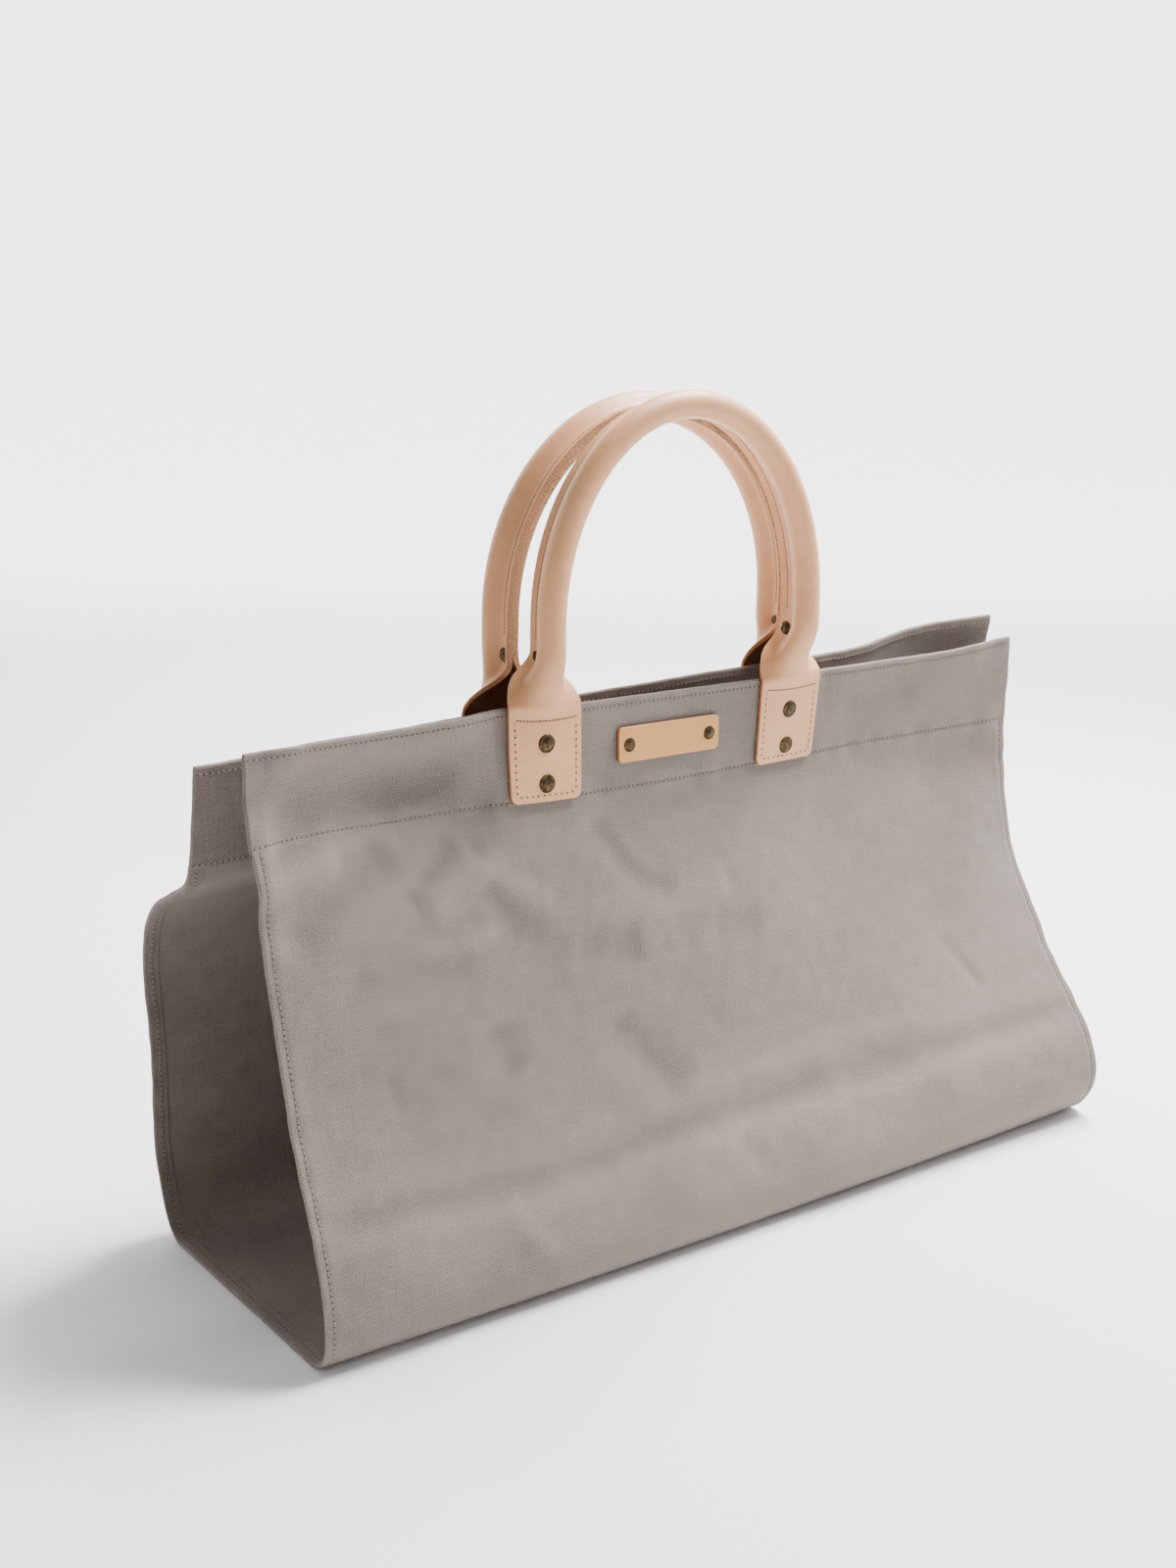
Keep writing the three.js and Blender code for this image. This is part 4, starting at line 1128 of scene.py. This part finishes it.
for name, handle in HANDLES.items():
    grid, normal, tab_rows, qs = build_strap(name, handle)
    seam_stitching(name, grid, normal, tab_rows, qs)
    tab_stitching(name, handle)
    side = handle["side"]
    for end, where in ENDS:
        place = f"{name}_{where}"
        x = tab_x(handle, end)
        shape = (BACKING_SIZE, BACKING_CORNER, BACKING_LAYER, BACKING_LOOKS, 0.5)
        piece = plate_on_band(f"backing_leather_{place}", side, x, BAND / 2, *shape)
        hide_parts(f"backing_{place}")
        for k, level in enumerate(("upper", "lower")):
            depth = TAB_RIVET_DROP + k * TAB_RIVET_PITCH
            band_rivet(f"rivet_{place}_{level}", side, x, depth, TAB_RIVET, STACK_TAB)
        seam_rivet(f"seam_rivet_{place}", handle, end)

layer = (-(TAB_SEAT + LEATHER), LEATHER)
shape = ((TAG_WIDTH, TAG_HEIGHT), TAG_CORNER, layer, [TAG_LOOK, FLESH_LOOK, CUT_LOOK], 0.7)
piece = plate_on_band("tag_leather_piece", -1, TAG_SHIFT, TAG_DROP, *shape)
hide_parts("leather_tag")
for end, where in ENDS:
    x = TAG_SHIFT + end * (TAG_WIDTH / 2 - TAG_RIVET_INSET)
    band_rivet(f"tag_rivet_{where}", -1, x, TAG_DROP, SMALL_RIVET, STACK_TAG)


# The studio, in metres

FLOOR_RADIUS = 2.6
BEND = 0.9
WALL_TOP = 3.6
GLOW_WAY = (0.56, 0.78, 0.28)
CAMERA_PLACE = (-0.74706, -0.94751, 0.56997)
CAMERA_TURN = (35.91, 14.39, 0.6)
LENS = 45.675


def build_studio():
    """A pale round floor that bends up into a wall, which glows behind the carrier."""
    wall = FLOOR_RADIUS + BEND
    profile = [(0.01, 0.0), (1.0, 0.0), (2.0, 0.0), (FLOOR_RADIUS, 0.0)]
    bend = np.linspace(0.15, math.pi / 2, 12)
    profile += [(FLOOR_RADIUS + BEND * math.sin(a), BEND * (1 - math.cos(a))) for a in bend]
    profile += [(wall, 2.0), (wall, WALL_TOP)]
    verts, faces = lathe(np.array(profile) * 1000, np.zeros(3), (0.0, 0.0, 1.0), 96)
    material, tree, shader = new_material("studio_floor", 0.85, Specular_IOR_Level=0.15)
    place = object_place(tree)
    distance = node(tree, "ShaderNodeVectorMath", {0: place}, operation="LENGTH")
    far = ramp(tree, distance.outputs["Value"], 0.8, 2.0)
    colour = blend_colour(tree, far, (0.92, 0.92, 0.92, 1), (0.34, 0.34, 0.34, 1))
    feed(tree, shader.inputs["Base Color"], colour)
    links = {0: place, 1: GLOW_WAY}
    behind = node(tree, "ShaderNodeVectorMath", links, operation="DOT_PRODUCT").outputs["Value"]
    feed(tree, shader.inputs["Emission Color"], (1.0, 1.0, 1.0, 1))
    feed(tree, shader.inputs["Emission Strength"], ramp(tree, behind, 0.7, 2.5, 0.0, 3.2))
    new_mesh("studio_floor", verts, faces, [material])


def area_light(name, place, target, size, power):
    data = bpy.data.lights.new(name, "AREA")
    data.shape = "RECTANGLE"
    data.size, data.size_y = size
    data.energy = power
    lamp = add_object(name, data)
    lamp.location = place
    lamp.rotation_mode = "QUATERNION"
    lamp.rotation_quaternion = (Vector(target) - Vector(place)).to_track_quat("-Z", "Y")


def build_lights():
    world = bpy.data.worlds.new("studio_world")
    world.use_nodes = True
    background = world.node_tree.nodes["Background"]
    background.inputs["Color"].default_value = (1.0, 1.0, 1.0, 1)
    background.inputs["Strength"].default_value = 0.1
    bpy.context.scene.world = world
    area_light("key", (1.1, 0.1, 2.1), (0.0, 0.0, 0.1), (1.4, 0.8), 225)
    area_light("right", (1.9, -0.7, 1.2), (0, 0, 0.2), (1.0, 1.0), 9)


def build_camera():
    """The photograph's camera: its turn is the way it looks, from +Y, then down, then its roll."""
    azimuth, elevation, roll = (math.radians(a) for a in CAMERA_TURN)
    level = np.array([math.cos(azimuth), -math.sin(azimuth), 0.0])
    ahead = np.array([math.sin(azimuth), math.cos(azimuth), 0.0])
    forward = ahead * math.cos(elevation) - np.array([0.0, 0.0, math.sin(elevation)])
    upright = np.cross(level, forward)
    right = level * math.cos(roll) + upright * math.sin(roll)
    up = upright * math.cos(roll) - level * math.sin(roll)
    data = bpy.data.cameras.new("camera")
    data.lens = LENS
    data.sensor_width = 36.0
    camera = add_object("camera", data)
    turn = Matrix(np.stack([right, up, -forward], 1).tolist()).to_4x4()
    camera.matrix_world = Matrix.Translation(CAMERA_PLACE) @ turn
    bpy.context.scene.camera = camera


build_studio()
build_lights()
build_camera()
